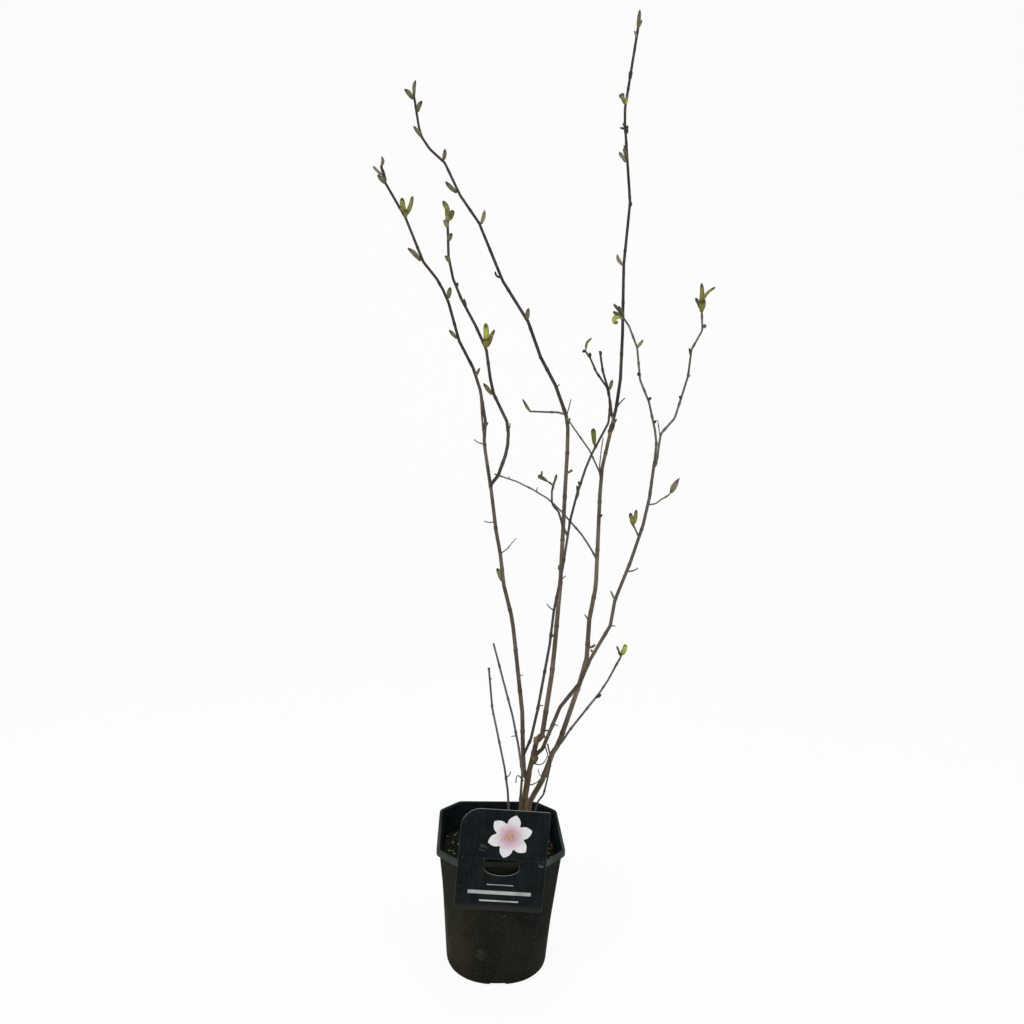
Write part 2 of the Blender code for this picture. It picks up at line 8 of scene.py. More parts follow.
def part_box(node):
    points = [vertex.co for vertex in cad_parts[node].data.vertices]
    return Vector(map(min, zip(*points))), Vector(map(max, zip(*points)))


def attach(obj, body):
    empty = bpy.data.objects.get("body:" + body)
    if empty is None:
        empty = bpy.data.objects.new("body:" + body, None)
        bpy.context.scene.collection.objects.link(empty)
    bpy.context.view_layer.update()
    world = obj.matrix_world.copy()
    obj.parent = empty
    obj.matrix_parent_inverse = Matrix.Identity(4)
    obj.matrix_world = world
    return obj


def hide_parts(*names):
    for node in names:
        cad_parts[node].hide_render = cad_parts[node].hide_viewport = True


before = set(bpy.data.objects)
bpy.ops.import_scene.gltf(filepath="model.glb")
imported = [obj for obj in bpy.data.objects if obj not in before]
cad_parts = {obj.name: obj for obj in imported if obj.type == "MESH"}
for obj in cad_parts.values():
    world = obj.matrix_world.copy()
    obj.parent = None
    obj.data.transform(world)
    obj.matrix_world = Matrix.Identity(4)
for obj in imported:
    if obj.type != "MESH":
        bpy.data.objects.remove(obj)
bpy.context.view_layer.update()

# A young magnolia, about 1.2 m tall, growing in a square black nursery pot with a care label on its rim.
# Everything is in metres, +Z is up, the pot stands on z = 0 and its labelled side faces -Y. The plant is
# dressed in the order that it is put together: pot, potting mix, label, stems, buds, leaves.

MM = 0.001

# Nursery pot
# One injection moulding in black recycled polypropylene: a square with cut corners at the rim that turns
# into a soft round at the foot. It is matt, rubbed grey on the rim and filmed with dust and dried mud.

_, pot_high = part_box("nursery_pot")
POT_HEIGHT = pot_high.z
RIM_HALF = pot_high.x
RIM_CUT = 27 * MM
RIM_BAND = 7 * MM
RIM_LIP = 4 * MM
RIM_STEP = 3 * MM
WALL = 1.5 * MM
FOOT_HALF = 67 * MM
FOOT_SQUARENESS = 2.2
FOOT_ROUNDING = 6 * MM
FLOOR = 3 * MM
CORNER_SHARPNESS = 70  # higher brings the moulded corners nearer to a knife edge
POT_SIDES = 176


def linear(hex_colour):
    """A hex sRGB colour as the linear RGBA that a shader takes."""
    channels = [int(hex_colour[i : i + 2], 16) / 255 for i in (1, 3, 5)]
    return (*[c / 12.92 if c <= 0.04045 else ((c + 0.055) / 1.055) ** 2.4 for c in channels], 1.0)


def feed(node, *values, **named):
    """Sets a node's own properties, named in lower case, and its sockets, in the order of those in use or named.

    A value is a number, a hex colour, a socket, or a node, which stands for its first output in use.
    """
    for name, value in named.items():
        if name[0].islower():
            setattr(node, name, value)
    sockets = list(zip([socket for socket in node.inputs if socket.enabled], values))
    sockets += [(node.inputs[name.replace("_", " ")], value) for name, value in named.items() if name[0].isupper()]
    for socket, value in sockets:
        if isinstance(value, bpy.types.Node):
            value = next(output for output in value.outputs if output.enabled)
        if isinstance(value, bpy.types.NodeSocket):
            node.id_data.links.new(value, socket)
        else:
            socket.default_value = linear(value) if str(value).startswith("#") else value
    return node


def add(tree, kind, *values, **named):
    """Adds a node, whose kind is given without its ShaderNode, and feeds it."""
    return feed(tree.nodes.new(kind if "Node" in kind else "ShaderNode" + kind), *values, **named)


# What a MapRange node needs to ease in and out, and a Mix node to mix colours
SMOOTH = {"interpolation_type": "SMOOTHSTEP"}
COLOURS = {"data_type": "RGBA"}


def new_material(name, **constants):
    """An empty Principled material, with its constant sockets set. Returns it, its tree and its shader."""
    material = bpy.data.materials.new(name)
    material.use_nodes = True
    tree = material.node_tree
    return material, tree, feed(tree.nodes["Principled BSDF"], **constants)


def loft(builder, rings, closed=True):
    """Bridges rings of equal point counts, in order, and caps both ends; or, if open, bridges rows into a sheet."""
    rows = [[builder.verts.new(point) for point in ring] for ring in rings]
    count = len(rows[0])
    for below, above in zip(rows, rows[1:]):
        for i in range(count if closed else count - 1):
            j = (i + 1) % count
            builder.faces.new((below[i], below[j], above[j], above[i]))
    if closed:
        builder.faces.new(list(reversed(rows[0])))
        builder.faces.new(rows[-1])
    return rows


def smooth(mesh, crease=35.0):
    """Shades a mesh smoothly, but creased where it turns by more than some degrees."""
    mesh.shade_smooth()
    mesh.set_sharp_from_angle(angle=radians(crease))
    return mesh


def mesh_from(builder, name, crease=35.0):
    """The builder's shape as a smooth mesh with its normals outwards."""
    bmesh.ops.recalc_face_normals(builder, faces=builder.faces)
    mesh = bpy.data.meshes.new(name)
    builder.to_mesh(mesh)
    builder.free()
    return smooth(mesh, crease)


def new_object(name, data):
    """An object in the scene that holds a mesh, curve, lamp or camera."""
    made = bpy.data.objects.new(name, data)
    bpy.context.scene.collection.objects.link(made)
    return made


def settled(worked):
    """The plain mesh that an object's modifiers make. The object itself goes."""
    graph = bpy.context.evaluated_depsgraph_get()
    mesh = bpy.data.meshes.new_from_object(worked.evaluated_get(graph), depsgraph=graph)
    bpy.data.objects.remove(worked)
    return mesh


def piece(name, mesh, finishes=(), stands_for=()):
    """Puts a finished mesh in place as one piece of the plant."""
    made = new_object(name, mesh)
    for finish in finishes:
        mesh.materials.append(finish)
    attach(made, "root")
    if stands_for:
        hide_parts(*stands_for)
    return made


def pot_outline(half, height, square):
    """One level of the pot, from square, 1, to the foot's soft round, 0."""
    points = []
    for i in range(POT_SIDES):
        angle = tau * (i + 0.5) / POT_SIDES
        c, s = abs(cos(angle)), abs(sin(angle))
        flats = (c / half, s / half, (c + s) / (2 * half - RIM_CUT * half / RIM_HALF))
        cut_square = 1 / sum(f**CORNER_SHARPNESS for f in flats) ** (1 / CORNER_SHARPNESS)
        soft_round = half / (c**FOOT_SQUARENESS + s**FOOT_SQUARENESS) ** (1 / FOOT_SQUARENESS)
        radius = cut_square * square + soft_round * (1 - square)
        points.append(Vector((radius * cos(angle), radius * sin(angle), height)))
    return points


def pot_ring(height, inset=0.0):
    """The wall's outline at a height, moved inwards by inset. It squares up a little faster than it widens."""
    share = height / POT_HEIGHT
    half = FOOT_HALF + (RIM_HALF - RIM_STEP - FOOT_HALF) * share
    return pot_outline(half - inset, height, share**0.8)


def drawn_in(ring, distance, height):
    """A ring shrunk towards the pot's axis and set at a height."""
    shrink = 1 - distance / FOOT_HALF
    return [Vector((p.x * shrink, p.y * shrink, height)) for p in ring]


def rounded(radius, start, end, steps=4):
    """Offsets (across, up) along a part of a circle, between two angles in degrees."""
    turns = [radians(start + (end - start) * i / steps) for i in range(steps + 1)]
    return [(radius * cos(turn), radius * sin(turn)) for turn in turns]


band_foot = POT_HEIGHT - RIM_BAND
# Up from a shallow recess under the foot
pot_rings = [
    drawn_in(pot_ring(0), 22 * MM, 1.4 * MM),
    drawn_in(pot_ring(0), 20 * MM, 1.2 * MM),
    drawn_in(pot_ring(0), 18.5 * MM, 0.0),
]
for across, up in rounded(FOOT_ROUNDING, -90, 0, 6):
    height = FOOT_ROUNDING + up
    pot_rings.append(drawn_in(pot_ring(height), FOOT_ROUNDING - across, height))
pot_rings += [pot_ring(FOOT_ROUNDING + (band_foot - FOOT_ROUNDING) * i / 16) for i in range(1, 16)]
pot_rings += [pot_ring(band_foot - 1.2 * MM), pot_ring(band_foot, -0.5 * MM)]
# The band's foot, its outer top edge and its inner top edge: centre of the rounding, radius, angles and steps
for out, up, radius, start, end, steps in (
    (RIM_HALF - 0.6 * MM, band_foot + 0.6 * MM, 0.6 * MM, -90, 0, 3),
    (RIM_HALF - 1.1 * MM, POT_HEIGHT - 1.1 * MM, 1.1 * MM, 0, 90, 4),
    (RIM_HALF - RIM_LIP + 0.7 * MM, POT_HEIGHT - 0.7 * MM, 0.7 * MM, 90, 180, 3),
):
    pot_rings += [pot_outline(out + x, up + z, 1.0) for x, z in rounded(radius, start, end, steps)]
# A low bead inside keeps stacked pots from jamming
for down, inset in ((2.6, 0.0), (9.6, 0.0), (10.4, 0.8), (11.4, 0.8), (12.2, 0.0)):
    pot_rings.append(pot_ring(POT_HEIGHT - down * MM, WALL + inset * MM))
pot_rings += [pot_ring(FLOOR + 4 * MM + (POT_HEIGHT - 24 * MM) * (1 - i / 12), WALL) for i in range(13)]
pot_rings += [drawn_in(pot_ring(FLOOR, WALL), 3 * MM, FLOOR), drawn_in(pot_ring(FLOOR, WALL), 20 * MM, FLOOR)]

builder = bmesh.new()
loft(builder, pot_rings)
pot_work = new_object("pot_work", mesh_from(builder, "pot_work"))
cutters = []
for side in range(4):
    # Drainage slots under the foot, one on each side
    builder = bmesh.new()
    arch = [(-10.5 * MM, -4 * MM), (10.5 * MM, -4 * MM)]
    for middle, start in ((8.3 * MM, 0), (-8.3 * MM, 90)):
        arch += [(middle + x, 2.3 * MM + z) for x, z in rounded(2.2 * MM, start, start + 90)]
    loft(builder, [[Vector((x, -FOOT_HALF + y, z)) for x, z in arch] for y in (-9 * MM, 9 * MM)])
    bmesh.ops.rotate(builder, matrix=Matrix.Rotation(side * pi / 2, 3, "Z"), verts=builder.verts)
    cutters.append(new_object(f"slot_cutter_{side}", mesh_from(builder, f"slot_cutter_{side}")))
    boolean = pot_work.modifiers.new("slot", "BOOLEAN")
    boolean.operation = "DIFFERENCE"
    boolean.solver = "EXACT"
    boolean.object = cutters[-1]
pot_mesh = smooth(settled(pot_work))
for cutter in cutters:
    bpy.data.objects.remove(cutter)

# Recycled polypropylene, spark-eroded in the mould: a matt olive black that hardly mirrors anything. Splashed
# soil has dried on it as brown patches towards the foot, with fine speckle all over and a few pale scuffs.
black_plastic, tree, shader = new_material("moulded_black_polypropylene", Specular_IOR_Level=0.05, IOR=1.49)
place = add(tree, "TexCoord").outputs["Object"]
right, back, height = add(tree, "SeparateXYZ", place).outputs
cloud = add(tree, "TexNoise", place, Scale=17.0, Detail=5.0, Roughness=0.6)
dust = add(tree, "MapRange", cloud, 0.38, 0.70, **SMOOTH)
# Painted light: the left side, where the key lamp falls, is painted a little lighter
painted_left_light = add(tree, "MapRange", right, 10 * MM, -75 * MM, 0.0, 0.45, **SMOOTH)
# The wall's left flank caught more of the splash than its front
mud = add(tree, "MapRange", height, 0.02, 0.16, 0.55, 0.05, **SMOOTH)
flank = add(tree, "MapRange", right, -20 * MM, -66 * MM, 0.25, 1.5)
patches = add(tree, "TexNoise", place, Scale=26.0, Detail=6.0, Roughness=0.68)
for part in (flank, add(tree, "MapRange", patches, 0.44, 0.64, **SMOOTH)):
    mud = add(tree, "Math", mud, part, operation="MULTIPLY")
speckle = add(tree, "TexNoise", place, Scale=520.0, Detail=3.0, Roughness=0.7)
speck = add(tree, "MapRange", speckle, 0.52, 0.72, 0.0, 0.75)
# The rim's band is rubbed in patches, most on the front, and is left darker behind the label
rub = add(tree, "MapRange", height, band_foot - 1 * MM, band_foot + 1 * MM, 0.0, 0.55)
front = add(tree, "MapRange", back, 60 * MM, -40 * MM, 0.15, **SMOOTH)
uncovered = add(tree, "MapRange", add(tree, "Math", right, operation="ABSOLUTE"), 26 * MM, 48 * MM, 0.05, **SMOOTH)
worn = add(tree, "MapRange", add(tree, "TexNoise", place, Scale=24.0, Detail=4.0), 0.35, 0.65, 0.35)
for part in (front, uncovered, worn):
    rub = add(tree, "Math", rub, part, operation="MULTIPLY")
# Scuffs are short pale strokes where the pot was slid against its neighbours; one smudge of them is low on
# the front
slanted = add(tree, "Mapping", place, Rotation=(0.0, 0.45, 0.0), Scale=(0.5, 0.5, 2.2))
strokes = add(tree, "TexNoise", slanted, Scale=150.0, Detail=3.0)
scuff = add(tree, "MapRange", strokes, 0.70, 0.80, 0.0, 0.6)
away = add(tree, "VectorMath", place, (-23 * MM, -76 * MM, 44 * MM), operation="DISTANCE")
near = add(tree, "MapRange", away, 3 * MM, 13 * MM, 1.0, 0.0, **SMOOTH)
smudge = add(tree, "Math", near, add(tree, "MapRange", strokes, 0.48, 0.66, 0.0, 0.8), operation="MULTIPLY")
scraped = add(tree, "Math", scuff, smudge, operation="MAXIMUM")
skin = add(tree, "Mix", dust, "#0f100c", "#1c1d17", **COLOURS)
# The first tint is painted light on the left side; the rest are mud, speckle, rubbing and scuffs
for share, tint in ((painted_left_light, "#282920"), (mud, "#322a1b"), (speck, "#34362c"), (rub, "#5c6664"), (scraped, "#62665e")):
    skin = add(tree, "Mix", share, skin, tint, **COLOURS)
# The spark grain is about 0.4 mm; it is drawn at 1.1 mm so that it shows
grain = add(tree, "TexNoise", place, Scale=900.0, Detail=2.0)
relief = add(tree, "Bump", Height=grain, Strength=0.3, Distance=0.3 * MM)
feed(shader, Base_Color=skin, Roughness=add(tree, "MapRange", cloud, 0.0, 1.0, 0.5, 0.85), Normal=relief)

# Inside, the same plastic is painted darker and bluer than outside, as painted shade for the pot's shaded inside: a
# deep blue-green black, with faint tide marks
shaded_inner_plastic, tree, shader = new_material("shade_darkened_inner_polypropylene", Specular_IOR_Level=0.05, Roughness=0.7)
place = add(tree, "TexCoord").outputs["Object"]
flat = add(tree, "Mapping", place, Scale=(1.0, 1.0, 4.0))
tide = add(tree, "MapRange", add(tree, "TexNoise", flat, Scale=40.0, Detail=5.0), 0.35, 0.7)
grain = add(tree, "TexNoise", place, Scale=900.0, Detail=2.0)
relief = add(tree, "Bump", Height=grain, Strength=0.2, Distance=0.3 * MM)
feed(shader, Base_Color=add(tree, "Mix", tide, "#081011", "#131c1e", **COLOURS), Normal=relief)

piece("pot_shell", pot_mesh, [black_plastic, shaded_inner_plastic], ["nursery_pot"])
# Faces that look inwards below the rim take the inside's painted shade
for face in pot_mesh.polygons:
    inward = face.normal.x * face.center.x + face.normal.y * face.center.y < 0
    face.material_index = 1 if inward and FLOOR < face.center.z < POT_HEIGHT - 1.5 * MM else 0

# Potting mix
# Composted bark and peat, watered down to a settled, uneven surface 35 mm below the rim. Bark chips, peat
# crumbs, pale grit and cushions of moss lie loose on it.

SOIL_TOP = POT_HEIGHT - 35 * MM
SOIL_CLEAR = 1.2 * MM
SOIL_DEPTH = 30 * MM
SOIL_STEPS = 27  # rings from the wall to the middle


def soil_height(x, y):
    """The settled surface: broad mounds, with the tilth of crumbs on them."""
    broad = 0.6 * sin(x / 0.017 + 0.8) * cos(y / 0.021) + 0.4 * sin(y / 0.012 + x / 0.030)
    crumbs = noise.fractal(Vector((x, y, 0.0)) * 160, 0.7, 2.0, 4)
    return SOIL_TOP + 2.2 * MM * broad + 1.1 * MM * crumbs


soil_rings = [pot_ring(SOIL_TOP - SOIL_DEPTH * i / 2, WALL + SOIL_CLEAR * (1 if i else 0.4)) for i in (2, 1, 0)]
edge_ring = soil_rings[-1]
for i in range(SOIL_STEPS, 0, -1):
    share = i / (SOIL_STEPS + 0.5)
    soil_rings.append([Vector((p.x * share, p.y * share, soil_height(p.x * share, p.y * share))) for p in edge_ring])
builder = bmesh.new()
loft(builder, soil_rings)
soil_mesh = mesh_from(builder, "potting_mix_surface", 60)

# Wet peat is nearly black and wholly matt; the drier crumbs and bark turn it brown, and algae greens it. Its colours
# are darkened further as painted shade for the shade inside the pot
peat, tree, shader = new_material("peat_and_composted_bark", Specular_IOR_Level=0.2, Roughness=0.95)
place = add(tree, "TexCoord").outputs["Object"]
tilth = add(tree, "TexNoise", place, Scale=240.0, Detail=6.0, Roughness=0.7)
ramp = add(tree, "ValToRGB", tilth)
for stop, position, colour in zip(ramp.color_ramp.elements, (0.36, 0.70), ("#0a0a06", "#1b1910")):
    stop.position = position
    stop.color = linear(colour)
damp = add(tree, "TexNoise", place, Scale=35.0, Detail=2.0)
algae = add(tree, "MapRange", damp, 0.50, 0.68, 0.0, 0.6, **SMOOTH)
relief = add(tree, "Bump", Height=tilth, Strength=0.8, Distance=1.0 * MM)
feed(shader, Base_Color=add(tree, "Mix", algae, ramp, "#232816", **COLOURS), Normal=relief)
piece("potting_mix_surface", soil_mesh, [peat], ["potting_mix"])


def new_tree(name, output, **inputs):
    """A Geometry Nodes tree with its named inputs, given by kind, and one output. Returns it and its input sockets."""
    tree = bpy.data.node_groups.new(name, "GeometryNodeTree")
    for label, kind in inputs.items():
        tree.interface.new_socket(label.replace("_", " "), in_out="INPUT", socket_type="NodeSocket" + kind)
    tree.interface.new_socket(output, in_out="OUTPUT", socket_type="NodeSocketGeometry")
    return tree, add(tree, "NodeGroupInput").outputs


def finish_tree(tree, geometry, finish):
    """Ends a tree: its geometry made real, smooth, and of the finish given."""
    real = add(tree, "GeometryNodeRealizeInstances", Geometry=geometry)
    soft = add(tree, "GeometryNodeSetShadeSmooth", Geometry=real, Shade_Smooth=True)
    add(tree, "NodeGroupOutput", add(tree, "GeometryNodeSetMaterial", Geometry=soft, Material=finish))


def tree_mesh(name, mesh, tree, **values):
    """The mesh that a tree makes of another, with its inputs set by their socket identifiers."""
    worked = new_object(name, mesh)
    modifier = worked.modifiers.new(tree.name, "NODES")
    modifier.node_group = tree
    sockets = {socket.name: socket.identifier for socket in tree.interface.items_tree}
    for label, value in values.items():
        modifier[sockets[label.replace("_", " ")]] = value
    return settled(worked)


# One tree strews a lumpy grain over the upward faces of a surface
strew, given = new_tree(
    "strewn_grains", "Grains", Ground="Geometry", Grains_per_square_metre="Float", Smallest="Float",
    Largest="Float", Stretch="Vector", Seed="Int", Finish="Material",
)
facing = add(strew, "SeparateXYZ", add(strew, "GeometryNodeInputNormal"))
upward = add(strew, "FunctionNodeCompare", A=facing.outputs["Z"], B=0.5, operation="GREATER_THAN")
spots = add(
    strew, "GeometryNodeDistributePointsOnFaces", Mesh=given["Ground"], Selection=upward,
    Density=given["Grains per square metre"], Seed=given["Seed"], distribute_method="RANDOM",
)
lump = add(strew, "GeometryNodeMeshIcoSphere", Radius=1.0, Subdivisions=2)
dents = add(strew, "TexNoise", Scale=1.1, W=3.7, Detail=1.0, noise_dimensions="4D")
depth = add(strew, "MapRange", dents, 0.0, 1.0, -0.45, 0.45)
offset = add(strew, "VectorMath", add(strew, "GeometryNodeInputPosition"), Scale=depth, operation="SCALE")
dented = add(strew, "GeometryNodeSetPosition", Geometry=lump, Offset=offset)
drawn = add(strew, "GeometryNodeTransform", Geometry=dented, Scale=given["Stretch"])
chance = "FunctionNodeRandomValue"
turns = add(strew, chance, (-0.5, -0.5, 0.0), (0.5, 0.5, tau), Seed=given["Seed"], data_type="FLOAT_VECTOR")
sizes = add(strew, chance, Min=given["Smallest"], Max=given["Largest"], Seed=given["Seed"], data_type="FLOAT")
grains = add(strew, "GeometryNodeInstanceOnPoints", Points=spots, Instance=drawn, Rotation=turns, Scale=sizes)
finish_tree(strew, grains, given["Finish"])


def speckled(name, dark, light, grain_size, rough):
    """A matt material that drifts between two colours over one grain's size."""
    material, tree, shader = new_material(name, Specular_IOR_Level=0.25, Roughness=rough)
    place = add(tree, "TexCoord").outputs["Object"]
    drift = add(tree, "TexNoise", place, Scale=0.6 / grain_size, Detail=3.0)
    mixed = add(tree, "Mix", add(tree, "MapRange", drift, 0.35, 0.65), dark, light, **COLOURS)
    fibre = add(tree, "TexNoise", place, Scale=1500.0, Detail=2.0)
    feed(shader, Base_Color=mixed, Normal=add(tree, "Bump", Height=fibre, Strength=0.5, Distance=0.2 * MM))
    return material


# Composted pine bark is a dull red brown, peat crumbs near black, lava grit grey, and moss yellow-green. The bark
# and peat colours are darkened further as painted shade for the shade inside the pot
bark_chip = speckled("composted_pine_bark", "#120e0a", "#291f16", 3 * MM, 0.85)
peat_crumb = speckled("peat_crumb", "#0a0a06", "#1d1c12", 2 * MM, 0.95)
grit = speckled("lava_grit", "#66665a", "#b3b4a6", 2 * MM, 0.8)
moss = speckled("cushion_moss", "#2a311c", "#798052", 1.5 * MM, 0.9)
for name, density, smallest, largest, stretch, seed, finish in (
    ("bark_chips", 3200.0, 1.1, 2.6, (1.6, 0.8, 0.32), 3, bark_chip),
    ("peat_crumbs", 26000.0, 0.6, 1.5, (1.0, 0.9, 0.7), 8, peat_crumb),
    ("pale_grit", 4200.0, 0.4, 1.6, (1.0, 0.8, 0.7), 21, grit),
    ("moss_cushions", 6000.0, 0.7, 3.2, (1.0, 1.0, 0.6), 34, moss),
):
    strewn = tree_mesh(
        name, soil_mesh.copy(), strew, Grains_per_square_metre=density, Smallest=smallest * MM,
        Largest=largest * MM, Stretch=stretch, Seed=seed, Finish=finish,
    )
    piece(name, strewn)

# Care label
# A black polypropylene card, die-cut with a tongue that hooks over the rim and down inside the pot. The cut
# edges show paler than the printed face, and their upward faces carry a painted highlight. Its wording is left off as
# plain pale bars.

CARD_WIDTH = 110 * MM
CARD_TOP = 68 * MM  # above the rim
CARD_BOTTOM = 63 * MM  # below the rim
CARD_THICKNESS = 0.8 * MM
CARD_TILT = 3.3
CARD_CORNER = 25 * MM
CARD_SMALL_CORNER = 3 * MM
CARD_GAP = 0.4 * MM
TONGUE_RISE = 3.6 * MM
TONGUE_HALF = 21 * MM
TONGUE_LENGTH = 20 * MM
TONGUE_SLOT = 0.9 * MM
TONGUE_STEPS = 12
CUT_STEPS = 24
card_face = -RIM_HALF - CARD_GAP - CARD_THICKNESS
card_place = Matrix.Translation((0, 0, POT_HEIGHT)) @ Matrix.Rotation(radians(CARD_TILT), 4, "Y")


def rounded_card():
    """The card from the front, about the rim's top middle: three small corners and one large, top left."""
    half = CARD_WIDTH / 2
    points = []
    for x, z, radius, start in (
        (-half, -CARD_BOTTOM, CARD_SMALL_CORNER, 180), (half, -CARD_BOTTOM, CARD_SMALL_CORNER, 270),
        (half, CARD_TOP, CARD_SMALL_CORNER, 0), (-half, CARD_TOP, CARD_CORNER, 90),
    ):
        centre = (x - radius * (1 if x > 0 else -1), z - radius * (1 if z > 0 else -1))
        turn = rounded(radius, start, start + 90, 16 if radius > 10 * MM else 5)
        points += [(centre[0] + across, centre[1] + up) for across, up in turn]
    return points


def tongue_cut(half, length):
    """The U that frees the tongue, open at its top."""
    turns = [pi + pi * i / CUT_STEPS for i in range(CUT_STEPS + 1)]
    sweep = [(half * cos(turn), TONGUE_RISE - length * 0.55 + length * 0.45 * sin(turn)) for turn in turns]
    return [(-half, TONGUE_RISE), *sweep, (half, TONGUE_RISE)]


def set_on_pot(mesh):
    """Notes each corner's place on the card as the attribute on_card, then tilts the mesh into place."""
    on_card = mesh.attributes.new("on_card", "FLOAT_VECTOR", "POINT")
    on_card.data.foreach_set("vector", [number for vert in mesh.vertices for number in vert.co])
    mesh.transform(card_place)
    return mesh


def flat_plate(name, outlines, front, thickness, edge_round=0.0):
    """A plate cut to closed outlines given as (across, up) pairs, with its front face at a depth."""
    curve = bpy.data.curves.new(name, "CURVE")
    curve.dimensions = "2D"
    curve.fill_mode = "BOTH"
    curve.extrude = thickness / 2 - edge_round
    curve.bevel_depth = edge_round
    curve.bevel_resolution = 1
    curve.offset = -edge_round
    for outline in outlines:
        spline = curve.splines.new("POLY")
        spline.points.add(len(outline) - 1)
        spline.use_cyclic_u = True
        for point, (x, z) in zip(spline.points, outline):
            point.co = (x, z, 0.0, 1.0)
    mesh = settled(new_object(name, curve))
    mesh.transform(Matrix.Translation((0, front + thickness / 2, 0)) @ Matrix.Rotation(pi / 2, 4, "X"))
    builder = bmesh.new()
    builder.from_mesh(mesh)
    bmesh.ops.remove_doubles(builder, verts=builder.verts, dist=1e-6)
    return set_on_pot(mesh_from(builder, name, 40))


card_mesh = flat_plate(
    "label_card", [rounded_card(), tongue_cut(TONGUE_HALF + TONGUE_SLOT, TONGUE_LENGTH + TONGUE_SLOT)],
    card_face, CARD_THICKNESS, 0.3 * MM,
)

# Printed polypropylene sheet: a calendered, faintly blue black, dull from handling. Its lower end is scuffed
# where the pot rubbed it, and it is bruised white in a few places; the pale mark on its top right corner is a painted
# highlight.
card_face_ink, tree, shader = new_material("printed_black_card", Specular_IOR_Level=0.06, IOR=1.49)
place = add(tree, "Attribute", attribute_name="on_card").outputs["Vector"]
card_height = add(tree, "SeparateXYZ", place).outputs["Z"]
haze = add(tree, "TexNoise", place, Scale=45.0, Detail=5.0, Roughness=0.65)
haze_share = add(tree, "MapRange", haze, 0.38, 0.70, **SMOOTH)
# Wiping leaves faint upright streaks, finer than can be drawn; they are drawn 1.5 mm apart
wiped = add(tree, "TexNoise", add(tree, "Mapping", place, Scale=(1.0, 1.0, 0.14)), Scale=420.0, Detail=3.0)
streaks = add(tree, "MapRange", wiped, 0.46, 0.72, 0.0, 0.3)
low_end = add(tree, "Math", haze, 12 * MM, card_height, operation="MULTIPLY_ADD")
scuffs = add(tree, "MapRange", low_end, -54 * MM, -47 * MM, 0.6, 0.0, **SMOOTH)
# Bruises, and last a painted highlight on the top right corner: place on the card and reach of each, in millimetres
bruise_and_corner_highlight = None
for across, up, reach in ((-25, 19, 7), (49, -1, 4.5), (-51, -30, 5), (53, 66, 3)):
    away = add(tree, "VectorMath", place, (across * MM, card_face, up * MM), operation="DISTANCE")
    near = add(tree, "MapRange", away, 0.2 * reach * MM, reach * MM, 1.0, 0.0, **SMOOTH)
    bruise_and_corner_highlight = add(tree, "Math", near, bruise_and_corner_highlight, operation="MAXIMUM") if bruise_and_corner_highlight else near
slanted = add(tree, "Mapping", place, Rotation=(0.0, -0.5, 0.0), Scale=(0.6, 1.0, 1.8))
marks = add(tree, "TexNoise", slanted, Scale=230.0, Detail=3.0)
bruised_and_highlit = add(tree, "Math", bruise_and_corner_highlight, add(tree, "MapRange", marks, 0.50, 0.68, 0.0, 0.7), operation="MULTIPLY")
scratched = add(tree, "MapRange", marks, 0.72, 0.80, 0.0, 0.6)
# Hooking the tongue over the rim whitens the sheet faintly along a fold at the tongue's root
wander = add(tree, "Math", haze, 3 * MM, card_height, operation="MULTIPLY_ADD")
crease = add(tree, "Math", wander, TONGUE_RISE + 1.5 * MM, 0.4 * MM, operation="COMPARE")
fold = add(tree, "Math", crease, add(tree, "MapRange", wiped, 0.46, 0.60, 0.0, 0.3), operation="MULTIPLY")
# The pale marks: bruises, scratches, and the painted highlight on the top right corner
worn = add(tree, "Math", bruised_and_highlit, scratched, operation="MAXIMUM")
pale_and_highlit = add(tree, "Math", worn, fold, operation="MAXIMUM")
face = add(tree, "Mix", haze_share, "#0a1012", "#151c1e", **COLOURS)
for share, tint in ((streaks, "#262e2e"), (scuffs, "#2e302b"), (pale_and_highlit, "#6f7775")):
    face = add(tree, "Mix", share, face, tint, **COLOURS)
# Calender texture is finer than a tenth of a millimetre; it is drawn at 1 mm
tooth = add(tree, "TexNoise", place, Scale=1000.0, Detail=1.0)
relief = add(tree, "Bump", Height=tooth, Strength=0.12, Distance=0.2 * MM)
feed(shader, Base_Color=face, Roughness=add(tree, "MapRange", haze, 0.0, 1.0, 0.45, 0.75), Normal=relief)

# The die leaves a raw edge, stress-whitened in patches; the faces of the edge that look upwards are painted paler
# still, as a painted highlight where light from above falls
card_edge, tree, shader = new_material("die_cut_edge", Specular_IOR_Level=0.2, Roughness=0.6)
place = add(tree, "TexCoord").outputs["Object"]
faces_up = add(tree, "Attribute", attribute_name="faces_up")
raw = add(tree, "TexNoise", place, Scale=300.0, Detail=3.0)
raw_and_highlight = add(tree, "Math", raw, 0.6, faces_up.outputs["Fac"], operation="MULTIPLY_ADD")
pale_and_highlit = add(tree, "MapRange", raw_and_highlight, 0.25, 1.05)
feed(shader, Base_Color=add(tree, "Mix", pale_and_highlit, "#2b302f", "#979c9a", **COLOURS))

# How far each face looks upwards sets the painted highlight on the cut edge
up_share = card_mesh.attributes.new("faces_up", "FLOAT", "FACE")
up_share.data.foreach_set("value", [max(0.0, face.normal.z) for face in card_mesh.polygons])
piece("label_card", card_mesh, [card_face_ink, card_edge], ["care_label"])
for face in card_mesh.polygons:
    # What looks to the front or the back is printed, and the rest is cut edge
    face.material_index = 0 if abs(face.normal.y) > 0.97 else 1

